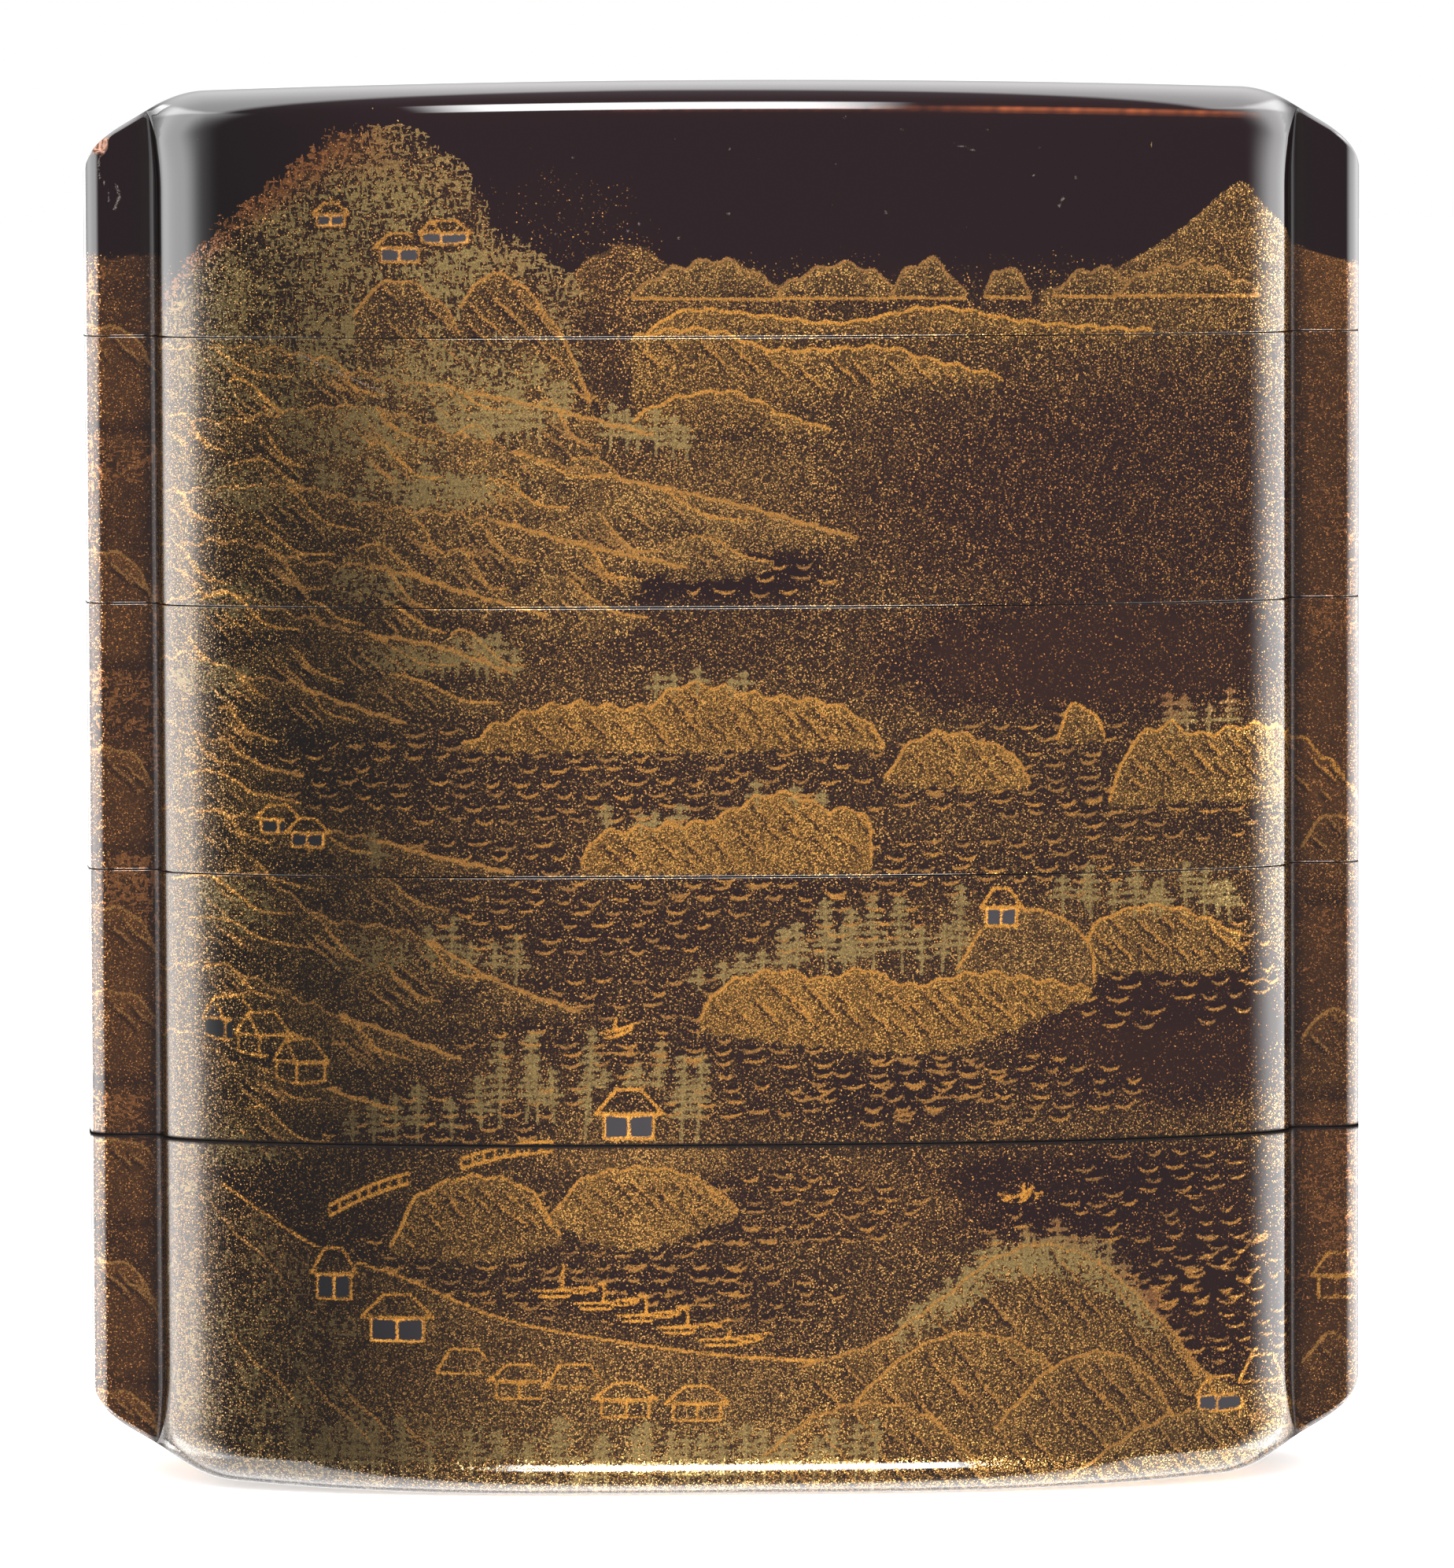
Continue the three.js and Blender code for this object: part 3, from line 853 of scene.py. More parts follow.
# Clouds of powder over land and water, each with its middle, radii, powder and warmth.
MIST = [
    ((-20, 55), (16, 12), 0.60, 0.45), ((22, 53), (20, 9), 0.25, 0.20),
    ((20, 44.5), (16, 4.5), 0.12, 0.12), ((-1, 46), (11, 3), 0.30, 0.40),
    ((24, 24.5), (12, 5.5), 0.10, 0.12), ((19, 16), (16, 3.5), 0.15, 0.20),
    ((-1, 49.2), (9, 2.4), 0.08, 0.36), ((-6, 29.5), (8, 3), 0.28, 0.40),
    ((-24, 14), (8, 6), 0.30, 0.35), ((0, 2), (40, 6), 0.62, 0.50),
    ((-8, 21), (9, 4), 0.46, 0.45), ((27, 11), (9, 7), 0.15, 0.15),
    ((8, 21), (8, 3), 0.26, 0.40), ((7, 15.5), (7.5, 3), 0.5, 0.35),
    ((-0.5, 54.2), (7, 2.4), 0.54, 0.45), ((-8.5, 67), (6.5, 4.4), 0.05, 0.30),
]
# Stretches of waves and patches of woods, each with its middle and radii.
FRONT_WAVES = [
    ((-3, 49.2), (8.5, 1.7)), ((-13, 47.6), (5.5, 1.9)), ((-21.5, 41.4), (4.8, 1.8)),
    ((-6, 38.4), (20, 2.9)), ((17, 38.6), (7.5, 3)), ((24, 36.3), (6.5, 2)),
    ((-15, 33.8), (9, 1.6)), ((8, 33.4), (14, 1.9)), ((-4, 30.8), (14.5, 2.2)),
    ((23, 27.8), (6.5, 3.4)), ((-7, 25.6), (9.5, 2.6)), ((2, 22.2), (13, 2.3)),
    ((13, 21.6), (9, 2.2)), ((-17, 20.2), (9, 1.6)), ((-8.5, 13.2), (11, 3.4)),
    ((3, 15.4), (7.5, 2.2)), ((-3, 10.8), (9, 1.8)), ((21, 12.6), (8.5, 3.6)),
    ((26.5, 9.6), (5, 4.2)), ((23, 17), (5, 1.6)),
]
BACK_WAVES = [
    ((-6, 50), (12, 2.2)), ((8, 40), (16, 2.6)), ((-10, 30), (14, 3)), ((12, 22), (14, 3)),
    ((-8, 14), (12, 3)),
]
FRONT_WOODS = [
    ((-25, 60), (9, 4.6)), ((-14, 59.6), (9, 3.4)), ((-19, 56.6), (8, 2.4)), ((-14, 53.4), (6.5, 1.7)),
    ((-25.5, 53.6), (5, 2.2)), ((-19, 48.4), (4.5, 1.6)), ((-26.5, 47.6), (4, 1.8)),
    ((-17, 44.6), (4.5, 1.3)), ((-27.5, 43.5), (4, 1.6)), ((-26.5, 31.5), (4, 2.6)),
    ((-19, 29), (3.5, 1.6)), ((-27, 18.5), (5, 2)),
]


def paint_mist(c):
    """Powder: none in the sky, thick over the land and thin and reddish over open water."""
    c.powder = 0.0005 + 0.40 * (1 - smoothstep(c.v + 1.2 * (c.mottle - 0.5), 61.2, 66.4))
    c.warmth[:] = 0.42
    # Painted shade over the left of the panel, fading out towards the middle.
    c.painted_shade = 0.78 * (1 - smoothstep(c.u + 0.3 * np.maximum(0, c.v - 45), -23, -5))
    for cloud in MIST:
        c.dust(*cloud)


def paint_distance(c):
    """Bare hills on the skyline, a tall cone, and low shores one behind another."""
    c.hill([(-10, 62.5), (-7.8, 65.2), (-5.2, 66.4), (-2.6, 65), (0, 63)], 61.5, 0.50, 0.42, line=0)
    c.hill([(-3.4, 63.6), (-1.4, 65.2), (0.4, 65.5), (2.4, 64.4), (4.6, 63.2)], 61.5, 0.44, 0.42, line=0)
    cone = [(16.5, 63.8), (20.5, 65), (24, 67), (26.6, 69.1), (27.6, 69.4), (28.8, 68.2), (31.5, 66.4),
            (35, 65.2), (40, 64.4)]
    c.hill(cone, 61, 0.58, 0.46, line=0, bumps=0)
    for start, end, rise in FAR_SHORES:
        span = end - start
        ridge = [(start + share * span, level + lift * rise) for share, level, lift in SHORE_RIDGE]
        c.hill(ridge, 63.5, 0.62, 0.5, tone=0.3, line=0.13, bumps=0.26)
        c.stroke([(start, 63.55), (end, 63.45)], 0.14, tone=0.55)
    c.hill([(-4.6, 61.4), (-2.2, 62.9), (2, 62.6), (6, 62.2), (11, 63), (16, 62.2), (22.5, 61.7)], 61,
           0.60, 0.60, tone=0.8, bumps=0.1)
    c.hill([(-11.5, 58.4), (-8, 60.4), (-4.4, 61.6), (-1, 61.9), (2.6, 60.8), (8, 60.9), (11, 60.2),
            (14.5, 59.3)], [(-11.5, 57.6), (0, 57.8), (14.5, 59)], 0.66, 0.62, tone=0.78,
           strokes={"length": 1.8, "every": 1.5})
    c.hill([(-6, 56.6), (-3, 58.2), (0.2, 58.6), (3, 57.4), (5.4, 56.6)], 56.2, 0.56, 0.6, tone=0.72)


def paint_wooded_mountain(c):
    """A dome of a mountain on the left, covered in woods, with a few roofs among the trees."""
    depth = height_on(WOODED_CREST, c.u) + 1.1 * (c.mottle - 0.5) - c.v
    land = (c.u > -33.5) & (c.u < -5) & (c.v > 56)
    c.cover(land & (depth > 0))
    wooded = lerp(c.powder, 0.22 + 0.24 * c.mottle, smoothstep(depth, 0, 1.5))
    c.powder = np.where(land, wooded, c.powder)
    rim = 1 - smoothstep(depth - 0.15 * (c.u + 26), 0.6, 3)
    side = 1 - 0.75 * smoothstep(c.u, -21, -16)
    c.warmth = np.where(land, lerp(0.45, 0.1, rim * side), c.warmth)
    trees = smoothstep(depth, -0.5, 0.4) * smoothstep(c.v - 0.12 * (c.u + 20), 53, 58)
    c.wood(trees * band(c.u, -34, -32.5, -9, -5.5))
    c.hut((-21.6, 67.4), 1.6, 1.2, tone=0.6, line=0.12)
    c.hut((-18.3, 65.5), 2.2, 1.5, tone=0.6, line=0.12)
    c.hut((-16, 66.4), 2.4, 1.3, "gable", tone=0.6, line=0.12)
    c.hill([(-19.6, 62.6), (-18.4, 64.2), (-16.6, 64.4), (-14.8, 63), (-13.4, 60.6), (-12.6, 58.2)], 57,
           0.50, 0.5, tone=0.45, strokes={"length": 2, "every": 1.8, "rows": 2})
    c.hill([(-14, 63.2), (-12.6, 64.8), (-11, 64.4), (-9.4, 62.6), (-8.2, 60.6), (-7.2, 58)], 57, 0.50,
           0.55, tone=0.52, strokes={"length": 2.2, "every": 1.4, "rows": 2})


def paint_slopes(c, slopes, edge=-36):
    """Slopes that come down from the side to a low tip, heaped with rounded rises."""
    for high, (tip_u, tip_v), powder in slopes:
        fall = high - tip_v
        span = tip_u - edge
        ridge = [(edge + share * span, high - drop * fall + vary(-0.35, 0.35) * (share < 1))
                 for share, drop in SLOPE_RIDGE]
        foot = [(edge, high - fall - 2.2), (edge + 0.6 * span, tip_v - 1.6), (tip_u, tip_v - 0.2)]
        c.hill(ridge, foot, powder, 0.46, tone=0.4, line=0.11, bumps=0.2)
        line = spline(ridge)
        for row in range(2):
            u = max(edge, -31) + vary(0, 4)
            while u < tip_u - 3.0:
                width = vary(3.4, 7)
                height = min(vary(1.4, 3), 0.4 * fall + 0.6)
                v = height_on(line, u + 0.4 * width) - height * vary(0.8, 1.1) - row * 1.9
                if u + 1.1 * width < tip_u + 0.5:
                    amount, tone = powder * vary(0.85, 1.2), vary(0.4, 0.62)
                    c.lump((u, v), width, height, amount, tone, int(DICE.integers(2, 5)))
                u += width * vary(0.9, 1.7)
        c.stroke(line[int(0.7 * len(line)):], 0.14, tone=0.55)


def paint_islands(c):
    """Islands in the middle distance, each with a bumpy outline and thick powder."""
    slants = {"length": 1.5, "every": 1.3, "rows": 2}
    c.hill([(-14, 40), (-11.6, 41.4), (-8.6, 42.2), (-4.6, 42), (-2.2, 43.2), (1.6, 42.6), (5.2, 42.2),
            (7.2, 41.2), (8.2, 40)], [(-14, 39.9), (-6, 39.8), (8.2, 39.9)], 0.86, 0.72, 0.66,
           bumps=0.25, strokes=slants)
    c.grove((-4.6, 42.6), (1.6, 43), 5, 1.4)
    c.hill([(8.2, 38.2), (9.6, 40), (11.6, 40.6), (13.6, 40), (15, 39.4), (15.9, 37.8)],
           [(8.2, 38), (12, 37.8), (15.9, 37.7)], 0.84, 0.7, 0.64, bumps=0.2, strokes=slants)
    c.hill([(17.4, 40.2), (18.2, 41.9), (19.4, 41.4), (19.9, 40.2)], 40.1, 0.7, 0.66, 0.85)
    c.hill([(20.2, 36.8), (21.4, 39.8), (23.4, 40.8), (25, 40.2), (27.6, 40.6), (30, 40.4), (33, 39.4),
            (36.5, 36)], [(20.2, 36.6), (27, 36.8), (36.5, 35.8)], 0.70, 0.6, 0.74, bumps=0.25,
           strokes=slants)
    c.grove((23.2, 40.4), (27.4, 40.4), 4, 2.4)
    c.hill([(-7.8, 33.6), (-7, 35.2), (-4.6, 35.6), (-1, 36), (1, 37), (3, 37.4), (5.2, 36.6),
            (7.2, 36.2), (7.5, 33.4)], 33.3, 0.86, 0.72, 0.66, bumps=0.25, strokes=slants)
    c.grove((-6.8, 35.4), (-2, 35.8), 4, 1.5)
    c.grove((0.6, 37), (6.8, 36.6), 3, 1.4)
    c.hill([(18.6, 28.2), (19.6, 30.4), (22.4, 31.2), (25, 30.6), (27.4, 29.4)], 27.8, 0.72, 0.6, 0.72,
           strokes=slants)
    c.grove((17.2, 31.2), (27.4, 30.6), 11, 2.6)
    c.dust((15, 29.4), (4.5, 2), 0.8, 0.4)
    c.hill([(12, 28), (14, 30.8), (16.8, 31), (19, 29.4), (19.4, 27.2)], 26.8, 0.66, 0.45, 0.7,
           bumps=0.05)
    c.grove((2.4, 27.8), (12.6, 28.2), 10, 4.2, 0.62)
    c.grove((-2.2, 27.4), (2, 27.6), 4, 1.8, 0.66)
    c.hill([(-1.6, 25.4), (-0.4, 27.2), (2.4, 28), (5, 27.6), (7.2, 28.1), (9.4, 27.2), (13, 27.8),
            (16.4, 27.4), (19.2, 26.8)], [(-1.6, 25), (4, 24.2), (10, 23.8), (14, 24.6), (19.2, 26.6)],
           0.88, 0.72, 0.68, bumps=0.2, strokes={"length": 2, "every": 1.25, "rows": 2})
    c.hut((13.5, 30.3), 1.8, 2)
    c.boat((-5.9, 24.8), 1.9, 0.7)


def paint_village(c):
    """The near shore: a pavilion among tall trees, bridges, roofs, moored boats and a headland."""
    c.grove((-20.2, 18.9), (-14.4, 19.3), 5, 2.8)
    c.grove((-13.4, 20), (-8.8, 20.4), 5, 4.4)
    c.grove((-8, 19.2), (-1.2, 19.2), 7, 5.2)
    c.dust((-5, 18.2), (6.5, 1.4), 0.75, 0.42)
    c.hut((-6.8, 19.2), 2.9, 2.6, line=0.14)
    slants = {"length": 1.2, "every": 1, "rows": 2}
    c.hill([(-18, 13.4), (-16.4, 16.2), (-13.4, 17.2), (-10.6, 16.4), (-9, 14)],
           [(-18, 13.2), (-13, 12.8), (-9, 13.8)], 0.72, 0.62, 0.8, strokes=slants)
    c.hill([(-9.4, 15.2), (-7.8, 17), (-5, 17.6), (-2.2, 17.2), (0.4, 15.4)],
           [(-9.4, 14.8), (-5, 13.4), (0.4, 15.2)], 0.82, 0.66, 0.64, strokes=slants)
    c.bridge((-21.2, 15), (-17, 16.8))
    c.bridge((-14.2, 17.6), (-9.4, 18.5))
    c.boat((15.4, 15.8), 2.4, 0, 0.02)
    c.boat((15.6, 15.9), 0.9, 0.6, 0.3)
    shore = spline([(-27, 16.6), (-22, 13.4), (-17.4, 11.8), (-12, 9.6), (-6, 8.4), (0, 7.6), (5.2, 7.3)])
    near = (c.v < height_on(shore, c.u)) & (c.u < 5.2)
    c.cover(near)
    c.powder[near] = (0.32 + 0.14 * smoothstep(c.u, -24, -14) + 0.3 * c.mottle)[near]
    c.stroke(shore, 0.14, tone=0.8)
    wooded = smoothstep(-17.5 - c.u, 0, 3) * 0.9 + 0.75 * (1 - smoothstep(c.v, 3.6, 5.6))
    below_hill = c.v < 17.5 - 0.5 * (c.u + 27)
    c.wood(np.clip(wooded, 0, 1) * near * below_hill * (0.6 + 0.5 * c.mottle))
    for u, v, length in (
        (-27.5, 15.5, 5.5), (-26.5, 8.6, 5), (-22.4, 6.4, 4.6), (-20.6, 6, 3.6), (-17.8, 4.6, 3.6),
    ):
        c.stroke(droop((u, v), length, 1), 0.14, tone=0.42, taper=0.4)
    c.hut((-22, 10.6), 2, 2.7)
    c.hut((-19.2, 8.4), 3.1, 2.5)
    for u, v, kind in (
        (-15.4, 6.2, "roof"), (-12.6, 5.4, "open"), (-9.6, 5.4, "roof"), (-7, 4.4, "open"),
        (-3.2, 4.2, "open"),
    ):
        c.hut((u, v), 2.8, 1.8, kind, tone=0.85, panes=False, line=0.12)
    for i in range(5):
        c.boat((-8.6 + 2.2 * i, 11.0 - 0.66 * i), 3.8, 1.4 - 0.2 * i, 0.05)
    paint_headland(c)
    c.grove((-24, 1), (-12, 1.6), 8, 3, 0.5)
    c.grove((-11, 0.9), (8, 1), 19, 3.6, 0.62, drop=0.9)
    c.hut((25, 4), 2.4, 1.9, "gable", tone=0.75)
    c.hut((27.4, 4.9), 2.6, 2, "roof", tone=0.75)
    c.hut((33.4, 9.6), 2.2, 2.4, tone=0.6, panes=False)


def paint_headland(c):
    """A wooded headland on the right of the near shore, in folds one before another."""
    crest = [(3.6, 7), (7.6, 8.2), (11, 10.4), (14, 12.6), (17, 13.3), (20.2, 11.8), (23.4, 8.6),
             (26.4, 5.6), (36, 3)]
    slants = {"length": 3.2, "every": 1.9, "rows": 2, "width": 0.13, "lean": 0.8}
    c.hill(crest, BELOW_FOOT, 0.58, 0.6, 0.5, bumps=0.1, strokes=slants)
    line = spline(crest)
    above = c.v - height_on(line, c.u)
    c.wood(band(c.u, 7, 10, 22, 24.5) * band(above, -2.4, -1.2, 0.2, 0.8))
    for u in np.arange(9, 23, 0.85):
        c.conifer((u, height_on(line, u) - vary(0.6, 1.4)), vary(1.4, 2.4))
    for ridge, powder, warmth, tone, bumps in (
        ([(5, 3.4), (8.8, 7.2), (11.8, 8.6), (15, 8.2), (17.6, 6.2), (19, 3.4)], 0.68, 0.62, 0.55, 0.08),
        ([(14, 3.6), (17.2, 6.8), (20.4, 7.4), (22.8, 5.4), (24.4, 2)], 0.66, 0.6, 0.52, 0.08),
        ([(1.6, 2.2), (4.6, 4.4), (8, 5), (11, 3.8), (13.6, 1.2)], 0.66, 0.6, 0.52, 0.12),
        ([(18, 0.8), (22, 3.4), (26, 4.2), (30, 3), (36, 2.4)], 0.62, 0.5, 0.42, 0.15),
    ):
        c.hill(ridge, BELOW_FOOT, powder, warmth, tone, bumps=bumps, strokes=slants)


def paint_flanges(c):
    """The picture runs on over the flanges: woods and slopes on the left, shores on the right."""
    left, right = c.u < -FLANGE_START, c.u > FLANGE_START
    left_land = left & (c.v < 65.5 + 0.5 * c.mottle)
    right_land = right & (c.v < 60.5)
    c.cover(left)
    c.powder[left_land] = (0.16 + 0.26 * c.mottle)[left_land]
    c.warmth[left_land] = 0.12
    # Painted shade over the flanges on both sides.
    c.painted_shade[left | right] = 0.35
    patches = 0.6 * smoothstep(noise(c.shape, 2.6), 0.2, 0.7)
    ragged = c.v + 2 * (c.mottle - 0.5)
    c.wood(left * (1 - smoothstep(ragged, 65, 66)) * (0.35 + patches))
    c.wood(right * (1 - smoothstep(ragged, 59.5, 60.5)) * (0.15 + patches))
    slants = {"length": 2.2, "every": 1.4}
    for v, rise in ((62, 2), (50, 2.6), (39.5, 2), (31, 2.2), (26.5, 1.4), (18.5, 1), (12, 3), (5, 2)):
        start = vary(-41.5, -40)
        ridge = [(start, v - rise), (-38, v - 0.2 * rise), (-35.6, v), (-33.4, v - 0.15 * rise),
                 (-32.2, v - rise)]
        c.hill(ridge, v - rise - 3.5, 0.42, 0.12, 0.3, 0.12, strokes=slants)
    c.powder[right_land] = lerp(c.powder, 0.22 + 0.25 * c.mottle, 0.6)[right_land]
    c.warmth[right] = 0.1
    for v in (34.5, 24, 6.5):
        ridge = [(32.6, v - 0.5), (34, v + 1.1), (36, v + 0.4), (39, v - 0.6), (41, v - 1.6)]
        c.hill(ridge, v - 3.6, 0.45, 0.15, 0.35, strokes={"length": 1.2, "every": 1.2})


def paint_front(c):
    paint_mist(c)
    for stretch in FRONT_WAVES:
        c.waves(*stretch)
    paint_distance(c)
    paint_wooded_mountain(c)
    paint_slopes(c, FRONT_SLOPES[:1])
    c.grove((-15.6, 55.8), (-8.4, 57.2), 12, 2.5, 0.5, drop=0.9)
    c.grove((-7, 56), (-1.4, 55), 6, 2.2, 0.55)
    paint_slopes(c, FRONT_SLOPES[1:5])
    c.grove((-22, 54), (-13, 52.6), 9, 2, 0.45, drop=1.4)
    c.grove((-15.4, 44), (-10.8, 43.6), 6, 2.2, 0.5)
    paint_slopes(c, FRONT_SLOPES[5:8])
    c.grove((-19.8, 33.9), (-17.6, 33.9), 2, 2, 0.5)
    c.hut((-24.8, 35.3), 2, 1.5, tone=0.85)
    c.hut((-23.2, 34.6), 1.9, 1.5, tone=0.85)
    paint_slopes(c, FRONT_SLOPES[8:])
    c.grove((-15.8, 28.4), (-11, 27.4), 5, 2.6, 0.5)
    for u, v in ((-27.8, 24.2), (-26, 23.4), (-24, 22)):
        c.hut((u, v), 2.6, 2.4, "gable", tone=0.75, line=0.12, panes=u < -27)
    for patch in FRONT_WOODS:
        c.wood(1 - smoothstep(c.away(*patch) + 0.5 * (c.mottle - 0.5), 0.4, 1))
    paint_islands(c)
    paint_village(c)
    paint_flanges(c)
    paint_scratches(c)
    c.powder *= 1 - 0.7 * smoothstep(c.hollow, -0.06, 0.04)
    shoulder = smoothstep(-c.u, 26.6, 28.4) * (c.u > -FLANGE_START)
    land = 1 - smoothstep(c.v + 2 * c.mottle, 62, 66)
    c.powder = lerp(c.powder, np.maximum(c.powder, 0.82), shoulder * land)


def paint_scratches(c):
    """Cracks that run down from the chip, and a few specks and hair scratches in the sky."""
    c.stroke([(-35.1, 71.6), (-34.9, 70.8), (-35, 70.1), (-34.5, 69.5), (-34.4, 68.7)], 0.1, "scar",
             taper=0.4)
    c.stroke([(-34, 69.6), (-33.8, 68.9), (-34.1, 68.2)], 0.07, "scar", taper=0.5)
    c.stroke([(-36.2, 66.6), (-36, 66.1)], 0.08, "scar")
    for _ in range(22):
        place = np.array([vary(-10, 27), vary(66.5, 73)])
        run = vary(-0.12, 0.12, 2)
        c.stroke([place, place + run], vary(0.04, 0.09), "scar")
    c.stroke([(12, 71.6), (13.1, 71.2)], 0.04, "scar", taper=0.5)
    c.stroke([(-22.5, 60.6), (-18, 58.6)], 0.05, "scar", taper=0.5)


def paint_back(c):
    """The back is plainer: one range, a few islands, and water under a dark sky."""
    paint_mist(c)
    for stretch in BACK_WAVES:
        c.waves(*stretch, 0.4, 0.75)
    c.hill([(-24, 63.5), (-18, 66.5), (-13, 68.6), (-9, 67.2), (-3, 64.8), (4, 63.6)], 61, 0.5, 0.42,
           line=0)
    c.hill([(2, 63.2), (8, 64.6), (14, 64), (22, 65.6), (30, 66), (36, 64.6), (41, 64)], 61, 0.5, 0.5,
           tone=0.6)
    paint_slopes(c, BACK_SLOPES)
    c.grove((-22, 53.5), (-10, 53.5), 12, 2.4, 0.5)
    slants = {"length": 1.4, "every": 1, "rows": 2}
    c.hill([(4, 42), (7, 44.2), (12, 44.6), (17, 43.6), (20, 42)], 41.6, 0.78, 0.68, tone=0.8,
           strokes=slants)
    c.hill([(-8, 33), (-5, 35.4), (1, 36), (6, 34.6), (9, 33)], 32.6, 0.8, 0.68, tone=0.82,
           strokes=slants)
    c.grove((-5, 35), (5, 35), 6, 2.2, 0.55)
    c.hill([(10, 24), (14, 27.2), (20, 28.4), (27, 27.6), (34, 26.8), (41, 26)], 23.4, 0.66, 0.6,
           tone=0.7, strokes=slants)
    c.grove((15, 27), (28, 27.4), 13, 2.6, 0.5)
    c.hill([(-41, 8), (-30, 11), (-20, 12.4), (-10, 9.6), (0, 8), (8, 6), (20, 3), (41, 1.5)], -0.5,
           0.6, 0.55, tone=0.72, strokes={"length": 2.4, "every": 1.6, "rows": 4})
    c.grove((-30, 9.8), (-8, 9), 24, 3, 0.5, drop=1)
    c.boat((6, 15), 2.4, 0.9)


# ---------------------------------------------------------------- dress

# Powder on the ends of the case, and powder and painted shade inside it.
TOP_POWDER = 0.02
FOOT_POWDER = 0.62
INSIDE_POWDER = 0.14
INSIDE_PAINTED_SHADE = 0.3


def unroll(points):
    """Where skin points lie on the canvases: how far round the outline from the middle of the
    panel, and how far inside the plain wall."""
    beside, depth = np.abs(points[:, 0]), np.abs(points[:, 1])
    run, inset = beside.copy(), crown_depth(beside) - depth
    past = beside > SHOULDER_START
    rest = ~PANEL_POINTS
    away = np.hypot(beside[past, None] - QUARTER[rest, 0], depth[past, None] - QUARTER[rest, 1])
    nearest = away.argmin(1)
    run[past] = QUARTER_RUN[rest][nearest]
    inset[past] = away.min(1)
    return run, inset


def plain_inside(points, inset):
    """Whether points lie on the sockets, risers, compartments or cord channels."""
    x, y, z = points.T
    turn = np.clip(1 - inset / PANEL_EDGE_RADIUS, 0.0, 1.0)
    rounding = PANEL_EDGE_RADIUS * (1 - np.sqrt(1 - turn ** 2))
    below_top = HEIGHT - end_drop(x, TOP_END) - rounding - z
    above_foot = z - end_drop(x, BOTTOM_END) - rounding
    deep = (inset > 0.6) & (below_top > 0.5) & (above_foot > 0.5)
    hollow = deep & (np.abs(x) < SOCKET[0] + 0.1)
    bore = np.hypot(np.abs(x) - CHANNEL_X, y) < CHANNEL_RADIUS + 0.05
    return hollow | bore


def sampled(field, u, v):
    """A canvas's field at places between its points."""
    row = np.clip(v / PITCH, 0, field.shape[0] - 1.001)
    column = np.clip((u + REACH) / PITCH, 0, field.shape[1] - 1.001)
    i, j = row.astype(int), column.astype(int)
    low = lerp(field[i, j], field[i, j + 1], column - j)
    high = lerp(field[i + 1, j], field[i + 1, j + 1], column - j)
    return lerp(low, high, row - i)


def rubbed(points):
    """Where the top coat is rubbed through to a redder one: in a thin line along the front edge
    of the lid, mostly on the right, and in a spot in the middle of its top."""
    x, y, z = points.T
    below_top = HEIGHT - end_drop(x, TOP_END) - z
    edge = np.exp(-((below_top - 1.48) / 0.09) ** 2) * (y < 0)
    along = 0.35 * band(x, -9.0, -4.0, 20.0, 28.5) + 0.8 * band(x, 11.0, 15.0, 26.5, 29.0)
    broken = 0.5 + 0.5 * np.sin(2.3 * x) * np.sin(0.9 * x + 1.0) * np.sin(5.1 * x + 2.0)
    streaks = 0.5 + 0.5 * np.sin(6.1 * x + 1.3 * y) * np.sin(2.9 * x - 4.7 * y + 1.0)
    spot = np.exp(-((x + 0.2) / 1.7) ** 2 - ((y - 1.0) / 0.8) ** 2) * (z > HEIGHT - 1) * streaks
    return np.clip(edge * along * (0.35 + 0.9 * broken) + 0.6 * spot, 0.0, 1.0)


def shade_seams_and_coves(points):
    """Painted shade in the coves and in the seams between the tiers, where the shine is taken away too."""
    beside, depth, z = np.abs(points[:, 0]), np.abs(points[:, 1]), points[:, 2]
    seam_and_cove_shade = 0.8 * np.exp(-((beside - FLANK_HALF_WIDTH - 0.35) / 0.6) ** 2) * (depth < 7.4)
    for seam, width in zip(SEAMS, SEAM_LINES):
        seam_and_cove_shade = np.maximum(seam_and_cove_shade, 1 - smoothstep(np.abs(z - seam), 0.5 * width, 0.5 * width + 0.04))
    return seam_and_cove_shade


def add_attribute(mesh, name, *fields):
    """Stores one field, or three as a vector, on the mesh's points."""
    kind, slot = ("FLOAT_VECTOR", "vector") if len(fields) == 3 else ("FLOAT", "value")
    mesh.attributes.new(name, kind, "POINT").data.foreach_set(slot, np.stack(fields, 1).ravel())


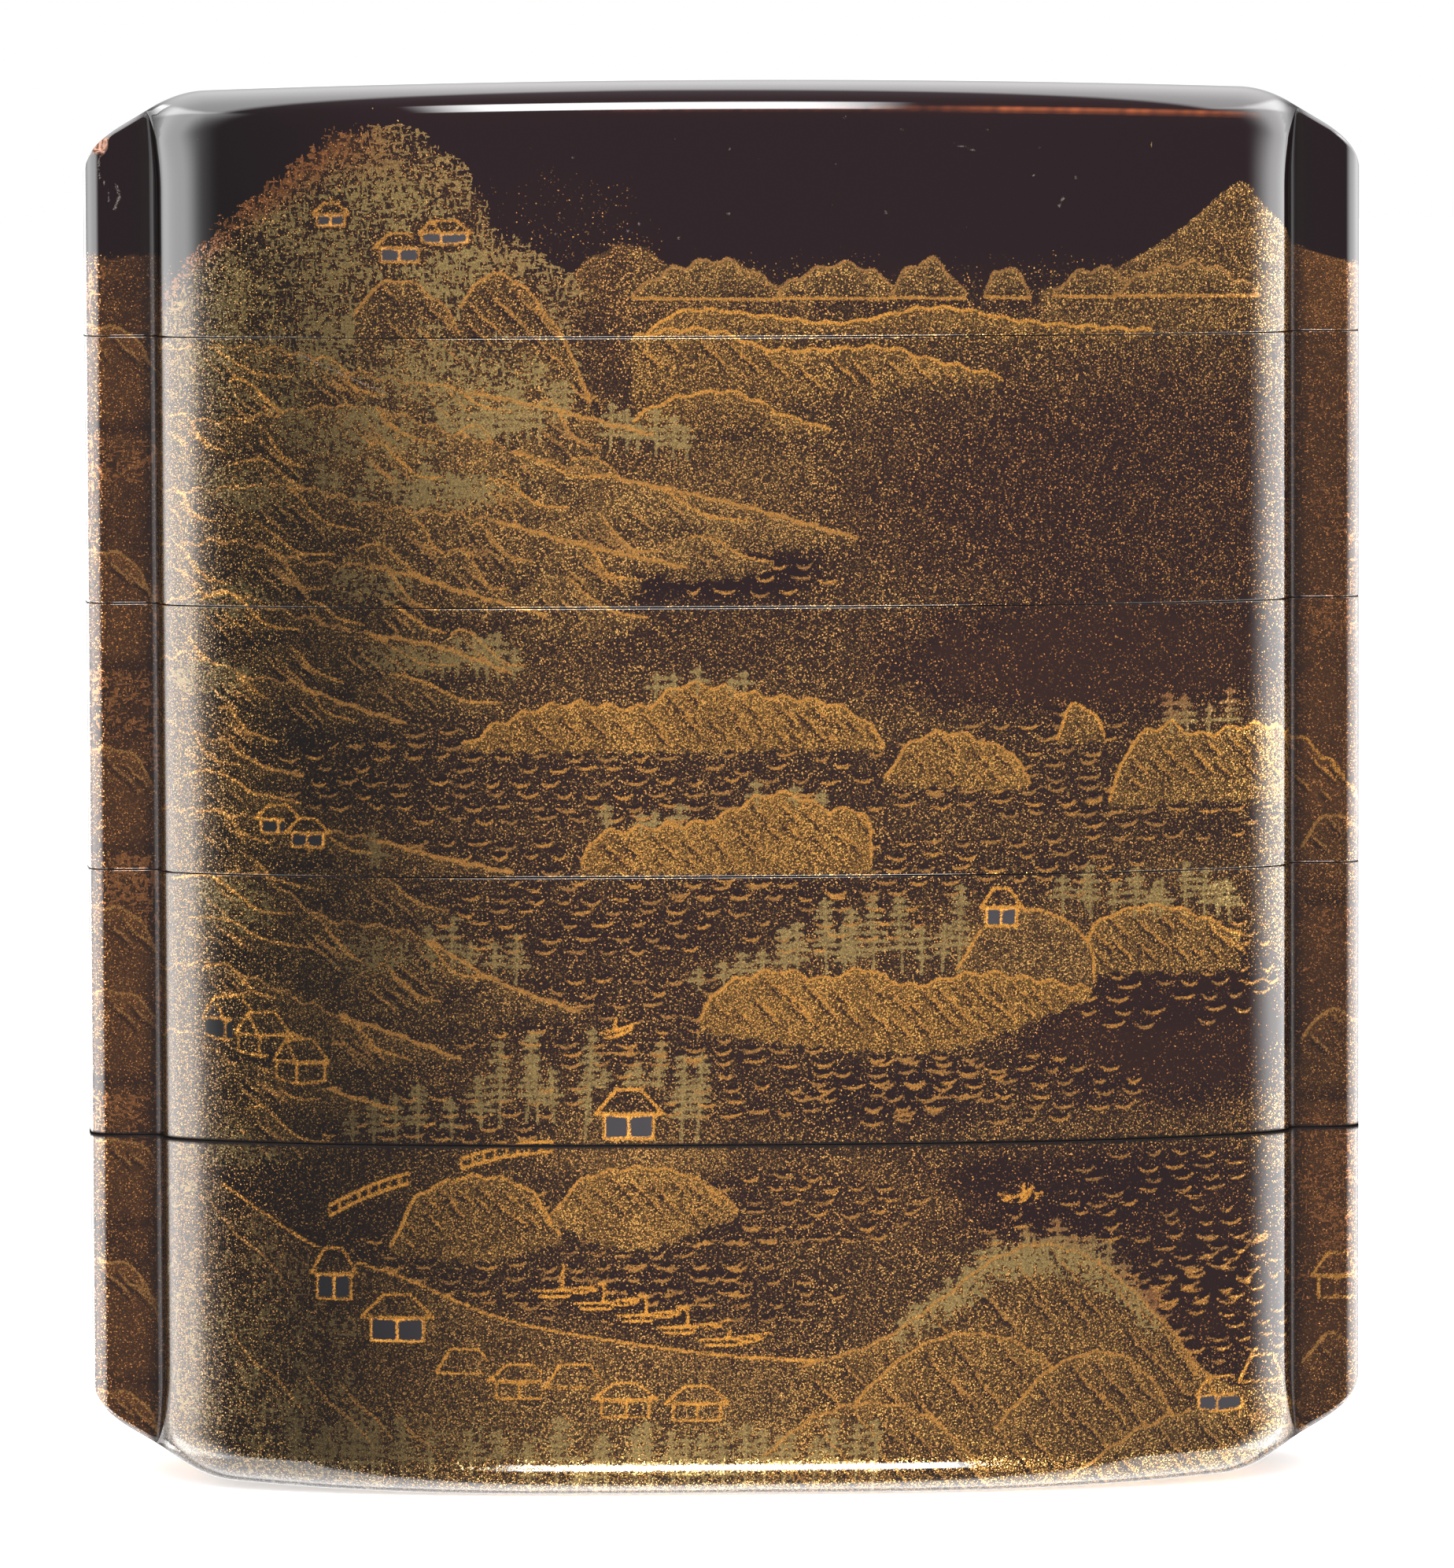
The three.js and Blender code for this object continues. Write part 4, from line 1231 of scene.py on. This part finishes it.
def dress(mesh, front, back):
    """Gives each skin point what the painter laid down there: ink (lines, trees, panes), gold
    (powder, warmth, tone), wear (rubbing, scratches, bare ground), painted shade in the seams and
    coves, woods, and painted shade over the picture."""
    points = np.empty(3 * len(mesh.vertices))
    mesh.vertices.foreach_get("co", points)
    points = points.reshape(-1, 3) / METRES
    x, y, z = points.T
    run, inset = unroll(points)
    inside = plain_inside(points, inset)
    over_end = smoothstep(inset, 1.3, PANEL_EDGE_RADIUS)
    # The flanges take the front's picture on both sides, mirrored at the middle of the side.
    behind = (y > 0) & (np.abs(x) < FLANK_HALF_WIDTH + 0.3)
    u = np.sign(x) * np.where(behind, -run, run)

    def found(layer):
        return np.where(behind, sampled(getattr(back, layer), u, z), sampled(getattr(front, layer), u, z))

    def strokes(layer):
        return np.where(inside, -FAR, found(layer) - FAR * over_end)

    def outside(field, within=0.0):
        return np.where(inside, within, field)

    end_powder = np.where(z > 0.5 * HEIGHT, TOP_POWDER, FOOT_POWDER)
    powder = outside(lerp(found("powder"), end_powder, over_end), INSIDE_POWDER)
    bare = np.linalg.norm(points - CHIP_CENTRE, axis=1) < CHIP_RADIUS + 0.1
    add_attribute(mesh, "ink", strokes("line"), strokes("tree"), strokes("pane"))
    add_attribute(mesh, "gold", powder, found("warmth"), found("tone"))
    add_attribute(mesh, "wear", outside(rubbed(points)), strokes("scar"), bare)
    add_attribute(mesh, "seam_and_cove_shade", outside(shade_seams_and_coves(points)))
    add_attribute(mesh, "woods", outside(found("woods") * (1 - over_end)))
    add_attribute(mesh, "painted_shade", outside(found("painted_shade"), INSIDE_PAINTED_SHADE))


# ---------------------------------------------------------------- light, floor and camera

FLOOR_REACH = 4000.0
CAMERA_LENS = 240.1
CAMERA_AZIMUTH = math.radians(-1.5)
CAMERA_DISTANCE = 563.0
CAMERA_HEIGHT = 76.8
CAMERA_TARGET = (0.25, 0.0, 37.03)
CAMERA_ROLL = math.radians(-0.22)


class Wiring:
    """Short ways to add and join shader nodes."""

    def __init__(self, tree):
        self.tree = tree

    def node(self, kind, **settings):
        made = self.tree.nodes.new("ShaderNode" + kind)
        for name, value in settings.items():
            setattr(made, name, value)
        return made

    def feed(self, socket, value):
        if isinstance(value, bpy.types.NodeSocket):
            self.tree.links.new(value, socket)
        elif isinstance(value, tuple) and len(value) == 3 and socket.type == "RGBA":
            socket.default_value = value + (1.0,)
        else:
            socket.default_value = value

    def maths(self, operation, a, b=0.0, clamp=False):
        made = self.node("Math", operation=operation, use_clamp=clamp)
        self.feed(made.inputs[0], a)
        self.feed(made.inputs[1], b)
        return made.outputs[0]

    def times(self, a, b):
        return self.maths("MULTIPLY", a, b)

    def plus(self, a, b):
        return self.maths("ADD", a, b)

    def minus(self, a, b):
        return self.maths("SUBTRACT", a, b)

    def most(self, *values):
        """The highest of a few values."""
        highest = values[0]
        for value in values[1:]:
            highest = self.maths("MAXIMUM", highest, value)
        return highest

    def ramp(self, value, from_low, from_high, to_low=0.0, to_high=1.0, smooth=False):
        made = self.node("MapRange", interpolation_type="SMOOTHSTEP" if smooth else "LINEAR")
        for socket, number in zip(made.inputs, (value, from_low, from_high, to_low, to_high)):
            self.feed(socket, number)
        return made.outputs[0]

    def mix(self, share, a, b, kind="RGBA"):
        made = self.node("Mix", data_type=kind)
        first = {"FLOAT": 2, "VECTOR": 4, "RGBA": 6}[kind]
        self.feed(made.inputs[0], share)
        self.feed(made.inputs[first], a)
        self.feed(made.inputs[first + 1], b)
        return made.outputs[{"FLOAT": 0, "VECTOR": 1, "RGBA": 2}[kind]]

    def vector(self, operation, a, b=None):
        made = self.node("VectorMath", operation=operation)
        self.feed(made.inputs[0], a)
        if b is not None:
            self.feed(made.inputs["Scale"] if operation == "SCALE" else made.inputs[1], b)
        return made.outputs[0]

    def scaled(self, colour, amount):
        return self.vector("SCALE", colour, amount)

    def noise(self, vector, scale, detail):
        made = self.node("TexNoise")
        for name, value in (("Vector", vector), ("Scale", scale), ("Detail", detail)):
            self.feed(made.inputs[name], value)
        return made.outputs[0]

    def split(self, vector):
        made = self.node("SeparateXYZ")
        self.feed(made.inputs[0], vector)
        return made.outputs


def look_at(thing, target):
    direction = Vector(target) - thing.location
    thing.rotation_euler = direction.to_track_quat("-Z", "Y").to_euler()


def soft_edges(light, edges, wedge=None):
    """Fades an area light towards its edges. edges are the shares of its width and height over
    which it fades in at the left, out at the right, in at the foot and out at the head. wedge
    bends the front edge: how fast it moves with the distance from the middle, and where along
    the height the light is out and where it is full."""
    light.use_nodes = True
    w = Wiring(light.node_tree)
    x, y, _ = w.split(w.node("NewGeometry").outputs["Parametric"])
    left, right, foot, head = edges
    strength = 1.0
    for across, rim, width in ((x, 0, left), (x, 1, right), (y, 0, foot), (y, 1, head)):
        if width:
            strength = w.times(strength, w.ramp(across, rim, abs(rim - width), smooth=True))
    if wedge:
        slope, dark, lit = wedge
        aside = w.maths("ABSOLUTE", w.minus(x, 0.5))
        bent = w.minus(y, w.times(aside, slope))
        strength = w.times(strength, w.ramp(bent, dark, lit, smooth=True))
    w.feed(light.node_tree.nodes["Emission"].inputs["Strength"], strength)


def area_light(name, place, target, size, radiance, edges=None, lights="both", wedge=None):
    width, height = (edge * METRES for edge in size)
    light = bpy.data.lights.new(name, "AREA")
    light.shape = "RECTANGLE"
    light.size = width
    light.size_y = height
    light.energy = radiance * math.pi * width * height
    if edges:
        soft_edges(light, edges, wedge)
    made = bpy.data.objects.new(name, light)
    made.location = Vector(place) * METRES
    bpy.context.scene.collection.objects.link(made)
    look_at(made, Vector(target) * METRES)
    made.visible_camera = False
    made.visible_diffuse = lights != "gloss"
    made.visible_glossy = lights != "diffuse"


# Area lights: name, place, target, size, radiance, soft edges, what they light, and wedge.
AREA_LIGHTS = [
    # Side boxes. The left one stands further forward, and both fade slowly towards the back.
    ("left_box", (-400, -22, 50), (0, -22, 50), (645, 900), 7.4, (0.46, 0.28, 0.1, 0.1), "gloss"),
    ("left_back_box", (-400, 430, 50), (0, 430, 50), (620, 900), 7.0, (0.3, 0.3, 0.1, 0.1), "gloss"),
    ("right_box", (400, 172, 50), (0, 172, 50), (895, 900), 6.8, (0.25, 0.68, 0.1, 0.1), "gloss"),
    ("front_fill", (-60, -800, 260), (0, 0, 37), (600, 600), 5.6, None, "diffuse"),
    # A strip in front and a wide box overhead, and the same again below for the lower edge.
    ("front_strip", (-44, -361, 430), (-44, -10, 74), (250, 210), 27.0, (0.4, 0.25, 0.15, 0.15)),
    ("top_box", (0, 61, 481), (0, -143, 24), (1400, 1000), 5.8, (0.1, 0.1, 0.5, 0), "gloss",
     (1.05, 0.552, 0.468)),
    ("low_strip", (13, -331, -239), (13, -12, 2), (182, 145), 27.0, (0.14, 0.14, 0.15, 0.15), "gloss"),
    ("low_box", (0, -296, -565), (0, -500, -108), (1800, 1220), 4.8, (0.1, 0.1, 0, 0.07), "gloss",
     (-1.99, 0.776, 0.846)),
]


def make_lights():
    for row in AREA_LIGHTS:
        area_light(*row)
    sun = bpy.data.lights.new("floor_wash", "SUN")
    sun.energy = 1.8
    sun.angle = math.radians(90)
    made = bpy.data.objects.new("floor_wash", sun)
    made.visible_glossy = False
    bpy.context.scene.collection.objects.link(made)


def make_world():
    """White to the camera; in reflections dim in front and bright behind, like a backdrop."""
    world = bpy.data.worlds.new("studio")
    bpy.context.scene.world = world
    world.use_nodes = True
    world.node_tree.nodes.clear()
    w = Wiring(world.node_tree)
    seen, room = w.node("Background"), w.node("Background")
    for background in (seen, room):
        w.feed(background.inputs["Color"], (1.0, 1.0, 1.0))
    _, backward, _ = w.split(w.node("TexCoord").outputs["Generated"])
    w.feed(room.inputs["Strength"], w.ramp(backward, -0.6, 0.9, 0.35, 1.5, smooth=True))
    choose = w.node("MixShader")
    choices = (w.node("LightPath").outputs["Is Camera Ray"], room.outputs[0], seen.outputs[0])
    for socket, choice in zip(choose.inputs, choices):
        w.feed(socket, choice)
    w.feed(w.node("OutputWorld").inputs[0], choose.outputs[0])


def make_floor():
    """A wide sheet of pale paper under the case."""
    corners = np.array([(-1, -1, 0), (1, -1, 0), (1, 1, 0), (-1, 1, 0)])
    floor = mesh_object("floor", corners * FLOOR_REACH, [(0, 1, 2, 3)])
    floor.location.z = LOWEST[2] * METRES
    material = bpy.data.materials.new("floor_paper")
    material.use_nodes = True
    shader = material.node_tree.nodes["Principled BSDF"]
    shader.inputs["Base Color"].default_value = (0.93, 0.93, 0.93, 1)
    shader.inputs["Roughness"].default_value = 0.9
    shader.inputs["Emission Color"].default_value = (1, 1, 1, 1)
    shader.inputs["Emission Strength"].default_value = 0.4
    floor.data.materials.append(material)
    floor.visible_glossy = False
    floor.visible_diffuse = False
    floor.visible_shadow = False


def make_camera():
    """A long lens just above the rim and a little to the left, looking slightly down."""
    data = bpy.data.cameras.new("camera")
    data.lens = CAMERA_LENS
    data.clip_start = 0.01
    data.clip_end = 20.0
    camera = bpy.data.objects.new("camera", data)
    bpy.context.scene.collection.objects.link(camera)
    aside, away = math.sin(CAMERA_AZIMUTH), -math.cos(CAMERA_AZIMUTH)
    camera.location = Vector((aside * CAMERA_DISTANCE, away * CAMERA_DISTANCE, CAMERA_HEIGHT)) * METRES
    look_at(camera, Vector(CAMERA_TARGET) * METRES)
    camera.rotation_euler.rotate_axis("Z", CAMERA_ROLL)
    bpy.context.scene.camera = camera


# ---------------------------------------------------------------- the lacquer


def lacquer_material():
    """Dark lacquer over gold flakes: each cell of a fine Voronoi pattern is one flake."""
    material = bpy.data.materials.new("gold_on_dark_lacquer")
    material.use_nodes = True
    w = Wiring(material.node_tree)
    shader = material.node_tree.nodes["Principled BSDF"]
    place = w.node("TexCoord").outputs["Object"]
    (line, tree, pane), (powder, warmth, tone), (rub, scar, bare) = (
        w.split(w.node("Attribute", attribute_name=name).outputs["Vector"]) for name in ("ink", "gold",
            "wear")
    )
    seam_and_cove_shade, woods, painted_shade = (
        w.node("Attribute", attribute_name=name).outputs["Fac"] for name in ("seam_and_cove_shade", "woods", "painted_shade")
    )

    # Grains: a flake shows where the powder outweighs its chance, with clouds in the powder.
    flakes = w.node("TexVoronoi")
    w.feed(flakes.inputs["Vector"], place)
    w.feed(flakes.inputs["Scale"], FLAKES_PER_METRE)
    chance, shade, spark = w.split(flakes.outputs["Color"])
    cloud = w.noise(place, 450.0, 2.0)
    patchy = w.times(w.ramp(cloud, 0.25, 0.75, -0.08, 0.08), w.ramp(powder, 0.0, 0.12))
    lift = w.minus(w.plus(powder, patchy), chance)
    core = w.ramp(flakes.outputs["Distance"], 0.62, 0.45, 0.25, 1.0)
    flake = w.times(w.ramp(lift, 0.0, 0.04), core)

    # Strokes: lines, trees and panes, ragged from flake to flake, and dashes for the woods.
    ragged = w.ramp(shade, 0.0, 1.0, -0.035, 0.035)
    line_edge = w.ramp(w.plus(line, ragged), -0.04, 0.03)
    line_share = w.times(line_edge, w.ramp(spark, 0.0, 0.5, 0.7, 1.0))
    tree_edge = w.ramp(w.plus(tree, ragged), -0.04, 0.03)
    tree_share = w.times(tree_edge, w.ramp(spark, 0.05, 0.5, 0.4, 1.0))
    pane_share = w.ramp(pane, -0.03, 0.05)
    level, upright = (w.noise(w.vector("MULTIPLY", place, stretch), 1.0,
                              1.0) for stretch in DASH_STRETCHES)
    dash = w.plus(w.most(level, upright), w.ramp(cloud, 0.3, 0.7, -0.06, 0.06))
    wood_share = w.ramp(w.minus(dash, w.ramp(woods, 0.0, 1.0, 0.86, 0.56)), 0.0, 0.035)
    tree_share = w.most(tree_share, wood_share)

    # Colours: flakes over the ground, then trees, panes, lines, painted shade and wear, one over another.
    glint = w.ramp(w.maths("POWER", shade, 3.0), 0.0, 1.0, 0.25, 3.2)
    cool = w.mix(w.ramp(warmth, 0.0, 0.5), RED_GOLD, PALE_GOLD)
    gold = w.mix(w.ramp(warmth, 0.5, 1.0), cool, RICH_GOLD)
    gold = w.mix(w.ramp(spark, 0.55, 1.0, 0.0, 0.75), gold, RED_GOLD)
    dust = w.times(w.ramp(powder, 0.02, 0.9), w.ramp(warmth, 0.11, 0.2, 0.34, 0.06))
    ground = w.mix(dust, LACQUER_COLOUR, gold)
    colour = w.mix(flake, ground, w.scaled(gold, glint))
    leaf = w.mix(w.ramp(warmth, 0.1, 0.42), RED_TREE_GOLD, TREE_GOLD)
    colour = w.mix(tree_share, colour, w.scaled(leaf, w.ramp(shade, 0, 1, 0.7, 1.4)))
    colour = w.mix(pane_share, colour, PANE_COLOUR)
    brush = w.mix(w.ramp(tone, 0.2, 1.0), THIN_GOLD, FULL_GOLD)
    colour = w.mix(line_share, colour, w.scaled(brush, w.ramp(shade, 0, 1, 0.75, 1.15)))
    # Painted shade darkens the colours, and lines somewhat less than the rest.
    dimming = w.times(painted_shade, w.ramp(line_share, 0.0, 1.0, 1.0, 0.6))
    colour = w.scaled(colour, w.minus(1.0, dimming))
    colour = w.mix(rub, colour, RUBBED_COLOUR)
    # Painted shade in the seams and coves.
    colour = w.mix(seam_and_cove_shade, colour, SEAM_AND_COVE_SHADE_COLOUR)
    scratch = w.ramp(w.plus(scar, ragged), -0.05, 0.03, 0.0, 0.6)
    colour = w.mix(scratch, colour, SCRATCH_COLOUR)
    colour = w.mix(bare, colour, w.mix(w.ramp(dash, 0.5, 0.66), GROUND_COLOUR, GROUND_STAIN))
    w.feed(shader.inputs["Base Color"], colour)

    # Surface: metal where there is gold, each flake tipped its own way, under a clear coat that
    # ripples a little over the flakes and is gone from bare ground and from the painted shade in
    # seams and coves.
    gilt = w.most(flake, dust, tree_share, line_share)
    plain = w.most(pane_share, bare, seam_and_cove_shade)
    gilt = w.times(gilt, w.maths("SUBTRACT", 1.0, plain, clamp=True))
    w.feed(shader.inputs["Metallic"], w.times(gilt, 0.75))
    roughness = w.mix(gilt, 0.35, w.ramp(spark, 0.0, 1.0, 0.18, 0.3), "FLOAT")
    w.feed(shader.inputs["Roughness"], roughness)
    tilt = w.vector("SUBTRACT", flakes.outputs["Color"], (0.5, 0.5, 0.5))
    normal = w.node("NewGeometry").outputs["Normal"]
    for socket, amount in (("Normal", FLAKE_TILT), ("Coat Normal", COAT_RIPPLE)):
        tipped = w.vector("ADD", normal, w.scaled(tilt, w.times(gilt, amount)))
        w.feed(shader.inputs[socket], w.vector("NORMALIZE", tipped))
    w.feed(shader.inputs["Coat Weight"], w.minus(1.0, w.most(bare, seam_and_cove_shade)))
    shader.inputs["Specular IOR Level"].default_value = 0.0
    shader.inputs["Coat Roughness"].default_value = 0.04
    return material


def finish_tier(node, tier, material):
    mesh = tier.data
    mesh.materials.clear()
    mesh.materials.append(material)
    mesh.polygons.foreach_set("use_smooth", np.ones(len(mesh.polygons), bool))
    mesh.set_sharp_from_angle(angle=SHARP_ANGLE)
    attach(tier, "root")
    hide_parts(node)


make_camera()
make_world()
make_lights()
make_floor()
bpy.context.scene.view_settings.view_transform = "Standard"
LACQUER = lacquer_material()
FRONT, BACK = Canvas(), Canvas()
paint_front(FRONT)
paint_back(BACK)
for NODE, TIER in make_tiers().items():
    finish_tier(NODE, TIER, LACQUER)
    dress(TIER.data, FRONT, BACK)
